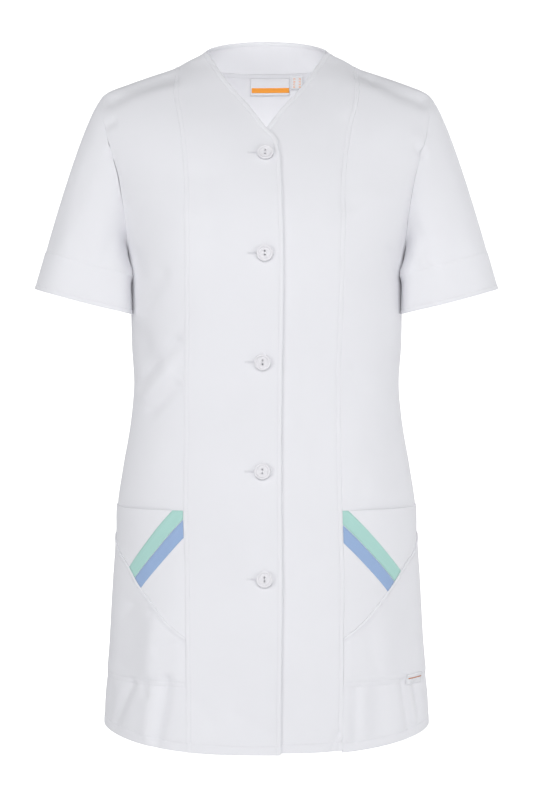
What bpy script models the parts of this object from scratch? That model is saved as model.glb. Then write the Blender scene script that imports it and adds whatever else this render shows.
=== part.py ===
"""A short-sleeved work smock, filled out as worn.

Metres, +Z up. The origin lies between the two neck points, at the height of the shoulders.
The front faces -Y and the wearer's left is +X. Each piece that is cut and sewn is one closed
wall of cloth, over points that lie on one smooth torso form or on a sleeve that grows from it.
"""

import math

import bmesh
import bpy
import numpy as np

# Cloth, and the gap that sewn pieces keep
WALL = 0.0012
LAYER = 0.0010
LABEL = 0.0008
GAP = 0.0003
SEAM = GAP / 2

# The worn torso. Each section is |x / half_width| ** square + |y / depth| ** square = 1.
# Above the armholes the widest point of each section is the shoulder ridge.
TORSO = (
    # height, half_width, front_depth, back_depth, front_square, back_square
    (0.0120, 0.0600, 0.008, 0.040, 2.00, 2.00),
    (0.0060, 0.0690, 0.012, 0.044, 2.00, 2.00),
    (-0.0035, 0.0886, 0.018, 0.050, 2.00, 2.00),
    (-0.0127, 0.1058, 0.026, 0.056, 2.00, 2.00),
    (-0.0218, 0.1323, 0.034, 0.062, 2.00, 2.00),
    (-0.0311, 0.1587, 0.042, 0.067, 2.00, 2.00),
    (-0.0403, 0.1817, 0.049, 0.072, 2.00, 2.00),
    (-0.0495, 0.1921, 0.056, 0.077, 2.00, 2.00),
    (-0.0587, 0.1978, 0.063, 0.081, 2.00, 2.00),
    (-0.0850, 0.2030, 0.080, 0.090, 2.10, 2.10),
    (-0.1150, 0.1985, 0.095, 0.098, 2.20, 2.20),
    (-0.1450, 0.1880, 0.108, 0.103, 2.30, 2.30),
    (-0.1800, 0.1740, 0.121, 0.105, 2.45, 2.40),
    (-0.2150, 0.1625, 0.128, 0.103, 2.50, 2.45),
    (-0.2500, 0.1565, 0.128, 0.099, 2.50, 2.45),
    (-0.2900, 0.1550, 0.124, 0.093, 2.50, 2.45),
    (-0.3300, 0.1543, 0.118, 0.087, 2.50, 2.45),
    (-0.3750, 0.1518, 0.112, 0.083, 2.50, 2.45),
    (-0.4200, 0.1556, 0.111, 0.087, 2.50, 2.45),
    (-0.4700, 0.1640, 0.114, 0.098, 2.50, 2.45),
    (-0.5150, 0.1705, 0.118, 0.110, 2.50, 2.40),
    (-0.5500, 0.1711, 0.120, 0.116, 2.45, 2.40),
    (-0.6000, 0.1742, 0.124, 0.122, 2.45, 2.35),
    (-0.6600, 0.1777, 0.129, 0.127, 2.45, 2.30),
    (-0.6900, 0.1798, 0.132, 0.129, 2.40, 2.30),
    (-0.7200, 0.1835, 0.134, 0.131, 2.40, 2.30),
    (-0.7800, 0.1862, 0.138, 0.134, 2.40, 2.30),
)
RIDGE_TOP = 0.0120
RIDGE_FOOT = -0.0587

# The centre front line, and how far from it the long front seams run
FRONT_LINES = (
    # height, centre_x, seam_offset
    (0.0100, 0.0000, 0.1050),
    (-0.0127, 0.0000, 0.1050),
    (-0.0500, 0.0000, 0.1040),
    (-0.0900, -0.0008, 0.0960),
    (-0.1200, -0.0014, 0.0917),
    (-0.2300, -0.0019, 0.0876),
    (-0.3000, -0.0032, 0.0865),
    (-0.3600, -0.0045, 0.0863),
    (-0.4300, -0.0048, 0.0863),
    (-0.5150, -0.0040, 0.0870),
    (-0.6000, -0.0020, 0.0868),
    (-0.6500, -0.0020, 0.0863),
    (-0.7900, -0.0020, 0.0848),
)

# The neck edge of a front, measured from the centre front line towards its own side
LAP = 0.0175
NECK_EDGE = (
    # height, offset
    (0.0060, 0.0690),
    (-0.0141, 0.0567),
    (-0.0254, 0.0502),
    (-0.0488, 0.0331),
    (-0.0685, 0.0164),
    (-0.0886, 0.0014),
    (-0.1040, -0.0118),
    (-0.1169, -0.0150),
    (-0.1310, -0.0169),
    (-0.1450, -LAP),
    (-0.8000, -LAP),
)
NECK_POINT = 0.0690
COLLAR_BASE = 0.0886
LAP_RAMP = (0.0190, 0.0480)
LAP_RAMP_TOP = (-0.0850, -0.0500)
UNDERLAP_SHORTER = 0.0020

HEM = -0.7786
HEM_RISE = 0.0170
HEM_HALF_WIDTH = 0.1860

# Armhole, as an ellipse in height that bulges forward and back below its middle
ARMHOLE_TOP = -0.0460
ARMHOLE_FOOT = -0.2350
ARMHOLE = {
    # face: (width, skew)
    -1: (0.057, 0.35),
    1: (0.062, 0.30),
}

# Rings of the sleeve: where it ends on the cuff, and the cuff's open end. The pulls say how far
# the sleeve keeps its direction at each end, and the droop how steeply it leaves the armhole,
# in front and at the underarm.
SLEEVE_END = {"x": 0.2073, "z": -0.2409, "radius": 0.0477, "depth": 0.067, "tilt": 17.0, "lean": 0.0}
CUFF_END = {"x": 0.2112, "z": -0.2806, "radius": 0.0555, "depth": 0.062, "tilt": 15.0, "lean": 0.003}
SLEEVE_START_PULL = 0.36
SLEEVE_END_PULL = 0.45
UNDERARM_PULL = 0.95
SLEEVE_DROOP = (0.9, 0.3)
TUCK = 0.005

# Neckband, round the back of the neck
BAND_FOOT = {"side": -0.0035, "back_drop": 0.0073}
BAND_TOP = {"half_width": 0.0690, "depth": 0.0470, "side": 0.0060, "back_rise": 0.0204, "power": 1.0}

# Pockets, from the front seam to the side seam
POCKET_TOP = -0.5150
POCKET_FOOT = -0.7066
SLANT = (
    # share of the way to the side seam, height of the front layer's edge
    (0.000, -0.6535),
    (0.125, -0.6385),
    (0.250, -0.6195),
    (0.385, -0.5990),
    (0.520, -0.5780),
    (0.660, -0.5655),
    (0.820, -0.5525),
    (1.000, -0.5420),
)

# Tapes, which fall at 45 degrees from the front seam and meet along one line
TAPE_MIDDLE = {-1: -0.5248, 1: -0.5304}
GREEN_WIDTH = 0.0153
BLUE_WIDTH = 0.0143
TAPE_INSET = 0.0003

BUTTON_HEIGHTS = (-0.1215, -0.2343, -0.3525, -0.4722, -0.5895)
BUTTON_PROFILE = (
    # radius, height
    (0.0082, 0.0000),
    (0.0090, 0.0008),
    (0.0090, 0.0021),
    (0.0083, 0.0029),
    (0.0072, 0.0028),
    (0.0060, 0.0019),
)
BUTTON_STAND = 0.0007
BUTTON_HOLE_RADIUS = 0.0011
BUTTON_HOLE_OFFSET = 0.0021

# Labels, each as x from, x to, foot, top
NECK_LABEL = (-0.0194, 0.0272, -0.0327, -0.0147)
SIZE_TAG = (0.0290, 0.0432, -0.0262, -0.0125)
SEAM_TAG = (0.1556, 0.1724, -0.7100, -0.6985)

# Soft troughs in the worn cloth, as straight runs seen from the front (face -1) or the back
# (face 1). The pockets hold the front flat between their top and foot.
FLAT_EDGE = 0.014
FOLDS = (
    # face, x_from, z_from, x_to, z_to, half_width, depth
    (-1, 0.1126, -0.0189, 0.1424, -0.0412, 0.008, 0.0020),
    (-1, 0.1424, -0.0412, 0.1675, -0.0510, 0.008, 0.0025),
    (-1, 0.1675, -0.0510, 0.1800, -0.0500, 0.007, 0.0015),
    (-1, -0.1784, -0.0486, -0.1167, -0.0262, 0.008, 0.0018),
    (-1, -0.1785, -0.0760, -0.1781, -0.0856, 0.010, 0.0022),
    (-1, 0.1715, -0.1038, 0.1810, -0.1176, 0.008, 0.0020),
    (-1, 0.1382, -0.2308, 0.1475, -0.2560, 0.008, 0.0022),
    (-1, -0.1457, -0.3467, -0.0931, -0.4006, 0.012, 0.0024),
    (-1, 0.1357, -0.3516, 0.1486, -0.4008, 0.012, 0.0022),
    (-1, 0.1039, -0.4860, 0.1050, -0.4960, 0.008, 0.0015),
    (-1, -0.1522, -0.7150, -0.1677, -0.7528, 0.009, 0.0030),
    (-1, -0.1336, -0.7150, -0.1335, -0.7200, 0.007, 0.0016),
    (-1, -0.1085, -0.7100, -0.1208, -0.7635, 0.010, 0.0036),
    (-1, 0.0975, -0.7262, 0.0974, -0.7661, 0.010, 0.0024),
    (-1, 0.1521, -0.7149, 0.1578, -0.7594, 0.009, 0.0030),
    (-1, 0.1681, -0.7157, 0.1742, -0.7547, 0.009, 0.0030),
    (1, -0.1200, -0.3300, -0.0700, -0.3750, 0.014, 0.0026),
    (1, 0.1150, -0.3400, 0.0750, -0.3850, 0.014, 0.0024),
    (1, -0.1000, -0.1300, -0.1500, -0.1900, 0.012, 0.0020),
    (1, 0.1050, -0.1400, 0.1500, -0.2000, 0.012, 0.0020),
    (1, -0.0900, -0.6400, -0.0980, -0.7700, 0.018, 0.0040),
    (1, 0.0350, -0.6600, 0.0420, -0.7750, 0.018, 0.0034),
    (1, 0.1250, -0.6500, 0.1300, -0.7700, 0.015, 0.0030),
)

# Grid of each piece. A panel's rows keep these levels, with this many rows up to each level
# and up to the shoulder.
LEVELS = (POCKET_FOOT, POCKET_TOP, ARMHOLE_FOOT - SEAM)
ROWS = (3, 7, 9, 11)
CROWD = 1.35
FRONT_COLUMNS = 8
SIDE_COLUMNS = 10
BACK_NECK_COLUMNS = 6
BACK_SIDE_COLUMNS = 6
SLEEVE_ROWS = 8
BAND_ROWS = 3
TAPE_ROWS = 8
BUTTON_COLUMNS = 16
DENSE = 240

RIGHT, LEFT = -1, 1
SIDES = (("right", RIGHT), ("left", LEFT))
FRONT, BACK = -1, 1

WHITE = (0.83, 0.83, 0.85)
GREEN = (0.42, 0.69, 0.59)
BLUE = (0.33, 0.45, 0.69)
SHELL = (0.86, 0.85, 0.87)


def clear_scene():
    for thing in list(bpy.data.objects):
        bpy.data.objects.remove(thing)


def look(name, colour, roughness=0.85):
    material = bpy.data.materials.new(name)
    material.use_nodes = True
    shader = material.node_tree.nodes["Principled BSDF"]
    shader.inputs["Base Color"].default_value = (*colour, 1.0)
    shader.inputs["Roughness"].default_value = roughness
    return material


def smooth(table, at):
    """The columns after a table's first, on a smooth curve through its rows."""
    rows = np.array(sorted(table), float)
    where = rows[:, 0]
    slopes = np.gradient(rows[:, 1:], where, axis=0)
    at = np.clip(at, where[0], where[-1])
    low = np.clip(np.searchsorted(where, at, side="right") - 1, 0, len(where) - 2)
    step = (where[low + 1] - where[low])[..., None]
    t = (at - where[low])[..., None] / step
    value_part = (1 + 2 * t) * (1 - t) ** 2 * rows[low, 1:] + t * t * (3 - 2 * t) * rows[low + 1, 1:]
    slope_part = t * (1 - t) ** 2 * slopes[low] - t * t * (1 - t) * slopes[low + 1]
    return value_part + step * slope_part


def ease(value, start, end):
    """0 at start, 1 at end, level at both."""
    t = np.clip((value - start) / (end - start), 0, 1)
    return t * t * (3 - 2 * t)


def section(z, face):
    """Half width, depth and squareness of the torso at a height."""
    form = smooth(TORSO, z)
    column = 1 if face == FRONT else 2
    return form[..., 0], form[..., column], form[..., column + 2]


def half_width(z):
    return smooth(TORSO, z)[..., 0]


def on_form(x, z, face):
    """Points of the torso form at x and height z."""
    x, z = np.broadcast_arrays(np.asarray(x, float), np.asarray(z, float))
    width, depth, square = section(z, face)
    inside = np.clip(1 - (np.abs(x) / width) ** square, 0, None)
    y = np.maximum(depth * inside ** (1 / square), SEAM)
    return np.stack((x, face * y, z), axis=-1)


def level(point, face):
    """How far out a point lies, as 0 on the torso form."""
    width, depth, square = section(point[..., 2], face)
    return (np.abs(point[..., 0]) / width) ** square + (np.abs(point[..., 1]) / depth) ** square - 1


def form_normals(points, face):
    """Unit normals of the torso form, pointing out."""
    step = 0.0001
    gradient = np.zeros_like(points)
    for axis in range(3):
        move = np.zeros(3)
        move[axis] = step
        gradient[..., axis] = level(points + move, face) - level(points - move, face)
    return gradient / np.linalg.norm(gradient, axis=-1, keepdims=True)


def fold_depth(points, face):
    """How far the cloth sinks at these points."""
    depth = np.zeros(points.shape[:-1])
    for fold_face, x_from, z_from, x_to, z_to, spread, deepest in FOLDS:
        if fold_face != face:
            continue
        run = np.array((x_to - x_from, z_to - z_from))
        place = points[..., (0, 2)] - (x_from, z_from)
        along = np.clip(place @ run / (run @ run), 0, 1)
        away = np.linalg.norm(place - along[..., None] * run, axis=-1)
        depth += deepest * np.exp(-((away / spread) ** 2))
    if face == FRONT:
        z = points[..., 2]
        depth *= ease(z, POCKET_FOOT, POCKET_FOOT - FLAT_EDGE) + ease(z, POCKET_TOP, POCKET_TOP + FLAT_EDGE)
    return depth


def worn(points, face):
    """Points of the torso form sunk into its folds, and the form's normals there."""
    normals = form_normals(points, face)
    facing = np.clip(2 * face * normals[..., 1], 0, 1)
    return points - normals * (fold_depth(points, face) * facing)[..., None], normals


def cloth(x, z, face):
    """Points of the worn cloth over the torso form, and the form's normals there."""
    return worn(on_form(x, z, face), face)


def ridge(x):
    """Height of the shoulder ridge at x."""
    heights = np.linspace(RIDGE_TOP, RIDGE_FOOT, DENSE)
    return np.interp(np.abs(x), half_width(heights), heights)


def hem_height(x):
    return HEM + HEM_RISE * (np.abs(x) / HEM_HALF_WIDTH) ** 3


def centre_line(z):
    return smooth(FRONT_LINES, z)[..., 0]


def front_seam(z, side, shift):
    """x of a long front seam, moved this far towards the side."""
    lines = smooth(FRONT_LINES, z)
    return lines[..., 0] + side * (lines[..., 1] + shift)


def front_edge(z, side):
    """x of a front's inner edge: its lap edge, and its neck edge above that."""
    return centre_line(z) + side * smooth(NECK_EDGE, z)[..., 0]


def armhole(theta, face, grow):
    """Points of an armhole on the left, from the top (0) to the underarm (pi)."""
    half = (ARMHOLE_TOP - ARMHOLE_FOOT) / 2 + grow
    z = (ARMHOLE_TOP + ARMHOLE_FOOT) / 2 + half * np.cos(theta)
    bulge, skew = ARMHOLE[face]
    y = (bulge + grow) * np.sin(theta) * (1 - skew * np.cos(theta))
    width, depth, square = section(z, face)
    x = width * np.clip(1 - (y / depth) ** square, 0, 1) ** (1 / square)
    return np.stack((x, face * y, z), axis=-1)


def lengths_along(points):
    """Distance of each point from the first, along them."""
    steps = np.linalg.norm(np.diff(points, axis=0), axis=1)
    return np.concatenate(((0.0,), np.cumsum(steps)))


def spaced(places, face, shares):
    """Places (x, z) at these shares of a curve's length over the form."""
    length = lengths_along(on_form(places[:, 0], places[:, 1], face))
    at = np.asarray(shares) * length[-1]
    return np.stack([np.interp(at, length, column) for column in places.T], axis=1)


def crowded():
    """Shares of a length beside the armhole, closer together towards the shoulder."""
    return 1 - np.linspace(1, 0, ROWS[-1] + 1) ** CROWD


def fill(inner, outer, foot, top):
    """Places between four edges of a panel, each edge a row of places (x, z)."""
    v = np.linspace(0, 1, len(inner))[:, None, None]
    u = np.linspace(0, 1, len(foot))[None, :, None]
    ruled = (1 - u) * inner[:, None] + u * outer[:, None] + (1 - v) * foot[None] + v * top[None]
    corners = (1 - v) * ((1 - u) * foot[0] + u * foot[-1]) + v * ((1 - u) * top[0] + u * top[-1])
    return ruled - corners


def turned(x_from, x_to):
    """Values from one x to another, closer together towards the second, as round a side."""
    return x_from + (x_to - x_from) * np.sin(np.linspace(0, math.pi / 2, DENSE))


def hem_line(x_from, x_to):
    x = turned(x_from, x_to)
    return np.stack((x, hem_height(x)), axis=1)


def level_line(x_from, x_to, z):
    return np.stack((turned(x_from, x_to), np.full(DENSE, z)), axis=1)


def panel_places(inner, outer, top, face, shares):
    """A panel's grid of places, from the hem up, each row spaced by its length over the form.

    Inner and outer each give x at a height, and the places of that edge above the armhole's foot.
    """
    (inner_x, inner_high), (outer_x, outer_high) = inner, outer
    lines = [hem_line(inner_x(HEM), outer_x(HEM))]
    lines += [level_line(inner_x(z), outer_x(z), z) for z in LEVELS]
    lines.append(top)
    even = np.linspace(0, 1, DENSE)
    grid = [spaced(lines[0], face, shares)]
    for leg, (foot, head) in enumerate(zip(lines, lines[1:])):
        last = leg == len(LEVELS)
        row_shares = crowded() if last else np.linspace(0, 1, ROWS[leg] + 1)
        edges = []
        for column, x_at, high in ((0, inner_x, inner_high), (-1, outer_x, outer_high)):
            side = high if last else upward(np.linspace(foot[column, 1], head[column, 1], DENSE), x_at)
            edges.append(spaced(side, face, row_shares))
        dense = fill(*edges, spaced(foot, face, even), spaced(head, face, even))
        grid += [spaced(row, face, shares) for row in dense[1:]]
    return np.array(grid)


def upward(heights, x_of):
    """A curve of places given by x as a function of height."""
    return np.stack((x_of(heights), heights), axis=1)


def upper(x_of, top):
    """An edge's places from the armhole's foot up to a height."""
    return upward(np.linspace(LEVELS[-1], top, DENSE), x_of)


def seam_edge(side, shift):
    """A long front seam as an edge of a panel, moved this far towards the side."""
    top = ridge(front_seam(RIDGE_TOP, side, shift))
    return (lambda z: front_seam(z, side, shift)), upper(lambda z: front_seam(z, side, shift), top)


def side_edge(side, face):
    """The side seam and the armhole as an edge of a panel."""
    hole = armhole(np.linspace(math.pi, 0, DENSE), face, SEAM)
    return (lambda z: side * half_width(z)), hole[:, (0, 2)] * (side, 1)


def front_places(side):
    """Grid of a centre front, from its lap edge to the long front seam."""
    edge = (lambda z: front_edge(z, side)), upper(lambda z: front_edge(z, side), ridge(NECK_POINT))
    seam = seam_edge(side, -SEAM)
    x = np.linspace(edge[1][-1, 0], seam[1][-1, 0], DENSE)
    top = np.stack((x, ridge(x)), axis=1)
    return panel_places(edge, seam, top, FRONT, np.linspace(0, 1, FRONT_COLUMNS + 1))


def armhole_angles(face):
    """Angles of a panel's points round its armhole, from the underarm to the top."""
    theta = np.linspace(math.pi, 0, DENSE)
    length = lengths_along(armhole(theta, face, SEAM))
    return np.interp(crowded() * length[-1], length, theta)


def sleeve_angles():
    """Angles round a sleeve that meet the points of the front and the back."""
    return np.concatenate((armhole_angles(FRONT)[::-1], 2 * math.pi - armhole_angles(BACK)[1:-1]))


def side_front_places(side):
    """Grid of a side front, from the long front seam to the side seam and armhole."""
    seam, outer = seam_edge(side, SEAM), side_edge(side, FRONT)
    x = np.linspace(seam[1][-1, 0], outer[1][-1, 0], DENSE)
    top = np.stack((x, ridge(x)), axis=1)
    top[-1] = outer[1][-1]
    return panel_places(seam, outer, top, FRONT, np.linspace(0, 1, SIDE_COLUMNS + 1))


def band_foot(phi, lower):
    """The neck seam at an angle round the back of the neck, 0 at the wearer's left."""
    z = BAND_FOOT["side"] - BAND_FOOT["back_drop"] * np.sin(phi) - lower
    return on_form(half_width(z) * np.cos(phi), z, BACK)


def neck_angles():
    """Angles of points that are evenly spaced along the neck seam, from side to side."""
    phi = np.linspace(math.pi / 2, 0, DENSE)
    length = lengths_along(band_foot(phi, 0))
    half = np.interp(np.linspace(0, length[-1], BACK_NECK_COLUMNS + 1), length, phi)
    return np.concatenate((half[::-1], math.pi - half[1:]))


def back_places():
    """Grid of the back, from side seam to side seam."""
    neck = band_foot(np.linspace(math.pi / 2, 0, DENSE), SEAM)[:, (0, 2)]
    outer = side_edge(LEFT, BACK)
    x = np.linspace(COLLAR_BASE, outer[1][-1, 0], DENSE)[1:]
    shoulder = np.stack((x, ridge(x)), axis=1)
    shoulder[-1] = outer[1][-1]
    top = np.concatenate((neck, shoulder))
    neck_share = lengths_along(on_form(*neck.T, BACK))[-1] / lengths_along(on_form(*top.T, BACK))[-1]
    shares = np.concatenate((
        np.linspace(0, neck_share, BACK_NECK_COLUMNS + 1),
        np.linspace(neck_share, 1, BACK_SIDE_COLUMNS + 1)[1:],
    ))
    centre = np.zeros_like, upper(np.zeros_like, neck[0, 1])
    half = panel_places(centre, outer, top, BACK, shares)
    mirrored = half[:, :0:-1] * (-1, 1)
    return np.concatenate((mirrored, half), axis=1)


def wall(name, points, normals, outer, inner, material, ring=False):
    """A closed wall over a grid of points, between two distances along their normals."""
    outer, inner = np.asarray(outer)[..., None], np.asarray(inner)[..., None]
    skins = (points + normals * outer, points + normals * inner)
    rows, columns = points.shape[:2]
    shape = bmesh.new()
    corners = [[[shape.verts.new(p) for p in row] for row in skin.tolist()] for skin in skins]
    pairs = [(c, (c + 1) % columns) for c in range(columns if ring else columns - 1)]
    for skin in corners:
        for low, high in zip(skin[:-1], skin[1:]):
            for c, d in pairs:
                shape.faces.new((low[c], low[d], high[d], high[c]))
    outside, inside = corners
    for row in (0, rows - 1):
        for c, d in pairs:
            shape.faces.new((outside[row][c], outside[row][d], inside[row][d], inside[row][c]))
    if not ring:
        for r in range(rows - 1):
            for c in (0, columns - 1):
                shape.faces.new((outside[r][c], outside[r + 1][c], inside[r + 1][c], inside[r][c]))
    return finish(name, shape, material)


def finish(name, shape, material):
    """An object from a bmesh, its faces out and its round faces smooth."""
    bmesh.ops.recalc_face_normals(shape, faces=shape.faces)
    mesh = bpy.data.meshes.new(name)
    shape.to_mesh(mesh)
    shape.free()
    mesh.materials.append(material)
    mesh.shade_smooth()
    mesh.set_sharp_from_angle(angle=math.radians(40))
    return place(name, mesh)


def place(name, mesh):
    piece = bpy.data.objects.new(name, mesh)
    bpy.context.scene.collection.objects.link(piece)
    return piece


def make_front(label, side, white):
    places = front_places(side)
    lift = np.zeros(places.shape[:2])
    if side == LEFT:
        places[0, :, 1] += UNDERLAP_SHORTER * np.linspace(1, 0, FRONT_COLUMNS + 1)
        offset = places[..., 0] - centre_line(places[..., 1])
        lapped = 1 - ease(offset, *LAP_RAMP)
        lapped = lapped * (1 - ease(places[..., 1], *LAP_RAMP_TOP))
        lift = -(WALL + GAP) * lapped
    points, normals = cloth(places[..., 0], places[..., 1], FRONT)
    wall("front_" + label, points, normals, lift, lift - WALL, white)


def make_side_front(label, side, white):
    places = side_front_places(side)
    points, normals = cloth(places[..., 0], places[..., 1], FRONT)
    wall("side_front_" + label, points, normals, 0, -WALL, white)


def make_back(white):
    places = back_places()
    points, normals = cloth(places[..., 0], places[..., 1], BACK)
    wall("back", points, normals, 0, -WALL, white)


def make_neckband(white):
    t = np.linspace(0, 1, BAND_ROWS + 1)[:, None]
    points, normals = surface(band_point, neck_angles()[None, :], t)
    normals *= np.sign((normals[..., :2] * points[..., :2]).sum(axis=-1))[..., None]
    points[..., 1] = np.maximum(points[..., 1], SEAM)
    wall("neckband", points, normals, 0, -WALL, white)


def band_point(phi, t):
    """The neckband at an angle round the neck and a share of its height."""
    foot = band_foot(phi, -SEAM)
    rise = BAND_TOP["side"] + BAND_TOP["back_rise"] * np.clip(np.sin(phi), 0, 1) ** BAND_TOP["power"]
    top = np.stack((BAND_TOP["half_width"] * np.cos(phi), BAND_TOP["depth"] * np.sin(phi), rise), axis=-1)
    return foot + (top - foot) * t[..., None]


def surface(point_at, u, v):
    """Points of a surface and its unit normals, from small steps in both of its parameters."""
    step = 0.0005
    u, v = np.broadcast_arrays(u, v)
    along_u = point_at(u + step, v) - point_at(u - step, v)
    along_v = point_at(u, v + step) - point_at(u, v - step)
    normals = np.cross(along_u, along_v)
    return point_at(u, v), normals / np.linalg.norm(normals, axis=-1, keepdims=True)


def ring_point(ring, theta):
    """A point of a sleeve's ring: 0 at its outer end, then forward."""
    tilt = math.radians(ring["tilt"])
    x = ring["x"] + ring["radius"] * math.cos(tilt) * np.cos(theta)
    z = ring["z"] + ring["radius"] * math.sin(tilt) * np.cos(theta) - ring["lean"] * np.sin(theta)
    return np.stack((x, -ring["depth"] * np.sin(theta), z), axis=-1)


def armhole_start(theta):
    """The sleeve's first points, and the torso's normals there, with the torso's folds."""
    theta = np.mod(theta, 2 * math.pi)
    in_front = theta <= math.pi
    down = np.where(in_front, theta, 2 * math.pi - theta)
    starts, normals = zip(*(worn(armhole(down, face, -SEAM), face) for face in (FRONT, BACK)))
    choose = in_front[..., None]
    return np.where(choose, *starts), np.where(choose, *normals)


def sleeve_point(theta, t):
    """The sleeve at an angle round it, and a share of the way from armhole to cuff."""
    start, normal = armhole_start(theta)
    end = ring_point(SLEEVE_END, theta)
    down = ring_point(CUFF_END, theta) - end
    down /= np.linalg.norm(down, axis=-1, keepdims=True)
    near_top = (((1 + np.cos(theta)) / 2) ** 2)[..., None]
    near_foot = (((1 - np.cos(theta)) / 2) ** 2)[..., None]
    small = 0.001
    tangent = armhole_start(theta + small)[0] - armhole_start(theta - small)[0]
    onward = np.cross(normal, tangent)
    onward /= np.linalg.norm(onward, axis=-1, keepdims=True)
    droop = SLEEVE_DROOP[0] + (SLEEVE_DROOP[1] - SLEEVE_DROOP[0]) * near_foot
    leave = near_top * onward + (1 - near_top) * (normal + down * droop)
    leave /= np.linalg.norm(leave, axis=-1, keepdims=True)
    length = np.linalg.norm(end - start, axis=-1, keepdims=True)
    start_pull = length * (SLEEVE_START_PULL + (UNDERARM_PULL - SLEEVE_START_PULL) * (1 - near_top))
    t = t[..., None]
    value_part = (1 + 2 * t) * (1 - t) ** 2 * start + t * t * (3 - 2 * t) * end
    pull_part = t * (1 - t) ** 2 * start_pull * leave - t * t * (1 - t) * SLEEVE_END_PULL * length * down
    return value_part + pull_part


def cuff_point(theta, t):
    """The cuff at an angle round it, and a share of the way from the sleeve's end to its own."""
    start = ring_point(SLEEVE_END, theta)
    return start + (ring_point(CUFF_END, theta) - start) * t[..., None]


def outward(points, normals, ring):
    """Normals turned to point away from a ring's centre line."""
    centre = np.array((ring["x"], 0.0, ring["z"]))
    mean = points.mean(axis=1, keepdims=True) * 0.5 + centre * 0.5
    return normals * np.sign((normals * (points - mean)).sum(axis=-1))[..., None]


def make_sleeve(label, side, white):
    theta = sleeve_angles()[None, :]
    start = armhole_start(theta)[0]
    length = np.linalg.norm(ring_point(SLEEVE_END, theta) - start, axis=-1)
    tucked = 1 - TUCK / length
    t = np.concatenate((np.linspace(0, 1, SLEEVE_ROWS)[:, None] * tucked, np.ones_like(tucked)))
    points, normals = surface(sleeve_point, theta, t)
    normals = outward(points, normals, SLEEVE_END)
    mirror = (side, 1, 1)
    wall("sleeve_" + label, points * mirror, normals * mirror, 0, -WALL, white, ring=True)
    cuff_t = np.array((0.0, 0.5, 1.0))[:, None]
    cuff, cuff_normals = surface(cuff_point, theta, cuff_t)
    cuff_normals = outward(cuff, cuff_normals, CUFF_END)
    cuff = np.concatenate((points[-2:-1], cuff))
    cuff_normals = np.concatenate((normals[-2:-1], cuff_normals))
    under = -(WALL + GAP)
    wall("cuff_" + label, cuff * mirror, cuff_normals * mirror, under, under - WALL, white, ring=True)


def seam_to_side(z, side):
    """A level line over a side front, from the long front seam to the side seam."""
    return level_line(front_seam(z, side, SEAM), side * half_width(z), z)


def side_length(z, side):
    return lengths_along(on_form(*seam_to_side(z, side).T, FRONT))[-1]


def along_side(z, side, along):
    """The place at this distance over the cloth from the long front seam."""
    return spaced(seam_to_side(z, side), FRONT, [along / side_length(z, side)])[0]


def slant_height(share):
    """Height of the front pocket layer's slanting edge, at a share of the way to the side."""
    return smooth(SLANT, np.asarray(share))[..., 0]


def make_pocket(label, side, white):
    places = side_front_places(side)[ROWS[0]:ROWS[0] + ROWS[1] + 1]
    points, normals = cloth(places[..., 0], places[..., 1], FRONT)
    wall("pocket_back_" + label, points, normals, GAP + LAYER, GAP, white)
    for column, share in enumerate(np.linspace(0, 1, SIDE_COLUMNS + 1)):
        heights = np.linspace(POCKET_FOOT, slant_height(share), ROWS[1] + 1)
        places[:, column] = [spaced(seam_to_side(z, side), FRONT, [share])[0] for z in heights]
    points, normals = cloth(places[..., 0], places[..., 1], FRONT)
    low = 2 * GAP + LAYER
    wall("pocket_front_" + label, points, normals, low + LAYER, low, white)


def tape_starts(side, colour):
    """Where a tape's upper edge, middle and lower edge start, each (along the cloth, height)."""
    middle = TAPE_MIDDLE[side]
    if colour == "green":
        top = POCKET_TOP - TAPE_INSET
        past = middle + GREEN_WIDTH * math.sqrt(2) - top
        return (past, top), (TAPE_INSET, top), (TAPE_INSET, middle)
    upper, lower = middle - 2 * GAP, middle - BLUE_WIDTH * math.sqrt(2)
    return (TAPE_INSET, upper), (TAPE_INSET, (upper + lower) / 2), (TAPE_INSET, lower)


def tape_end(side, start):
    """Where a tape's edge, falling at 45 degrees, comes within a gap of the slanting edge."""
    low, high = 0.0, 0.12
    for _ in range(40):
        run = (low + high) / 2
        along, z = start[0] + run, start[1] - run
        above = z - 2 * GAP > slant_height(along / side_length(z, side))
        low, high = (run, high) if above else (low, run)
    return start[0] + low, start[1] - low


def make_tape(label, side, colour, material):
    places = []
    for start in tape_starts(side, colour):
        end = tape_end(side, start)
        run = np.linspace(0, 1, TAPE_ROWS + 1)[:, None]
        edge = np.asarray(start) * (1 - run) + np.asarray(end) * run
        places.append([along_side(z, side, along) for along, z in edge])
    places = np.array(places)
    points, normals = cloth(places[..., 0], places[..., 1], FRONT)
    low = 2 * GAP + LAYER
    wall("stripe_" + colour + "_" + label, points, normals, low + LAYER, low, material)


def patch(name, box, face, outer, inner, columns, material):
    """A flat piece over part of a panel."""
    x_from, x_to, foot, top = box
    x = np.linspace(x_from, x_to, columns + 1)[None, :]
    z = np.linspace(foot, top, 3)[:, None]
    points, normals = cloth(x, z, face)
    wall(name, points, normals, outer, inner, material)


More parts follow.
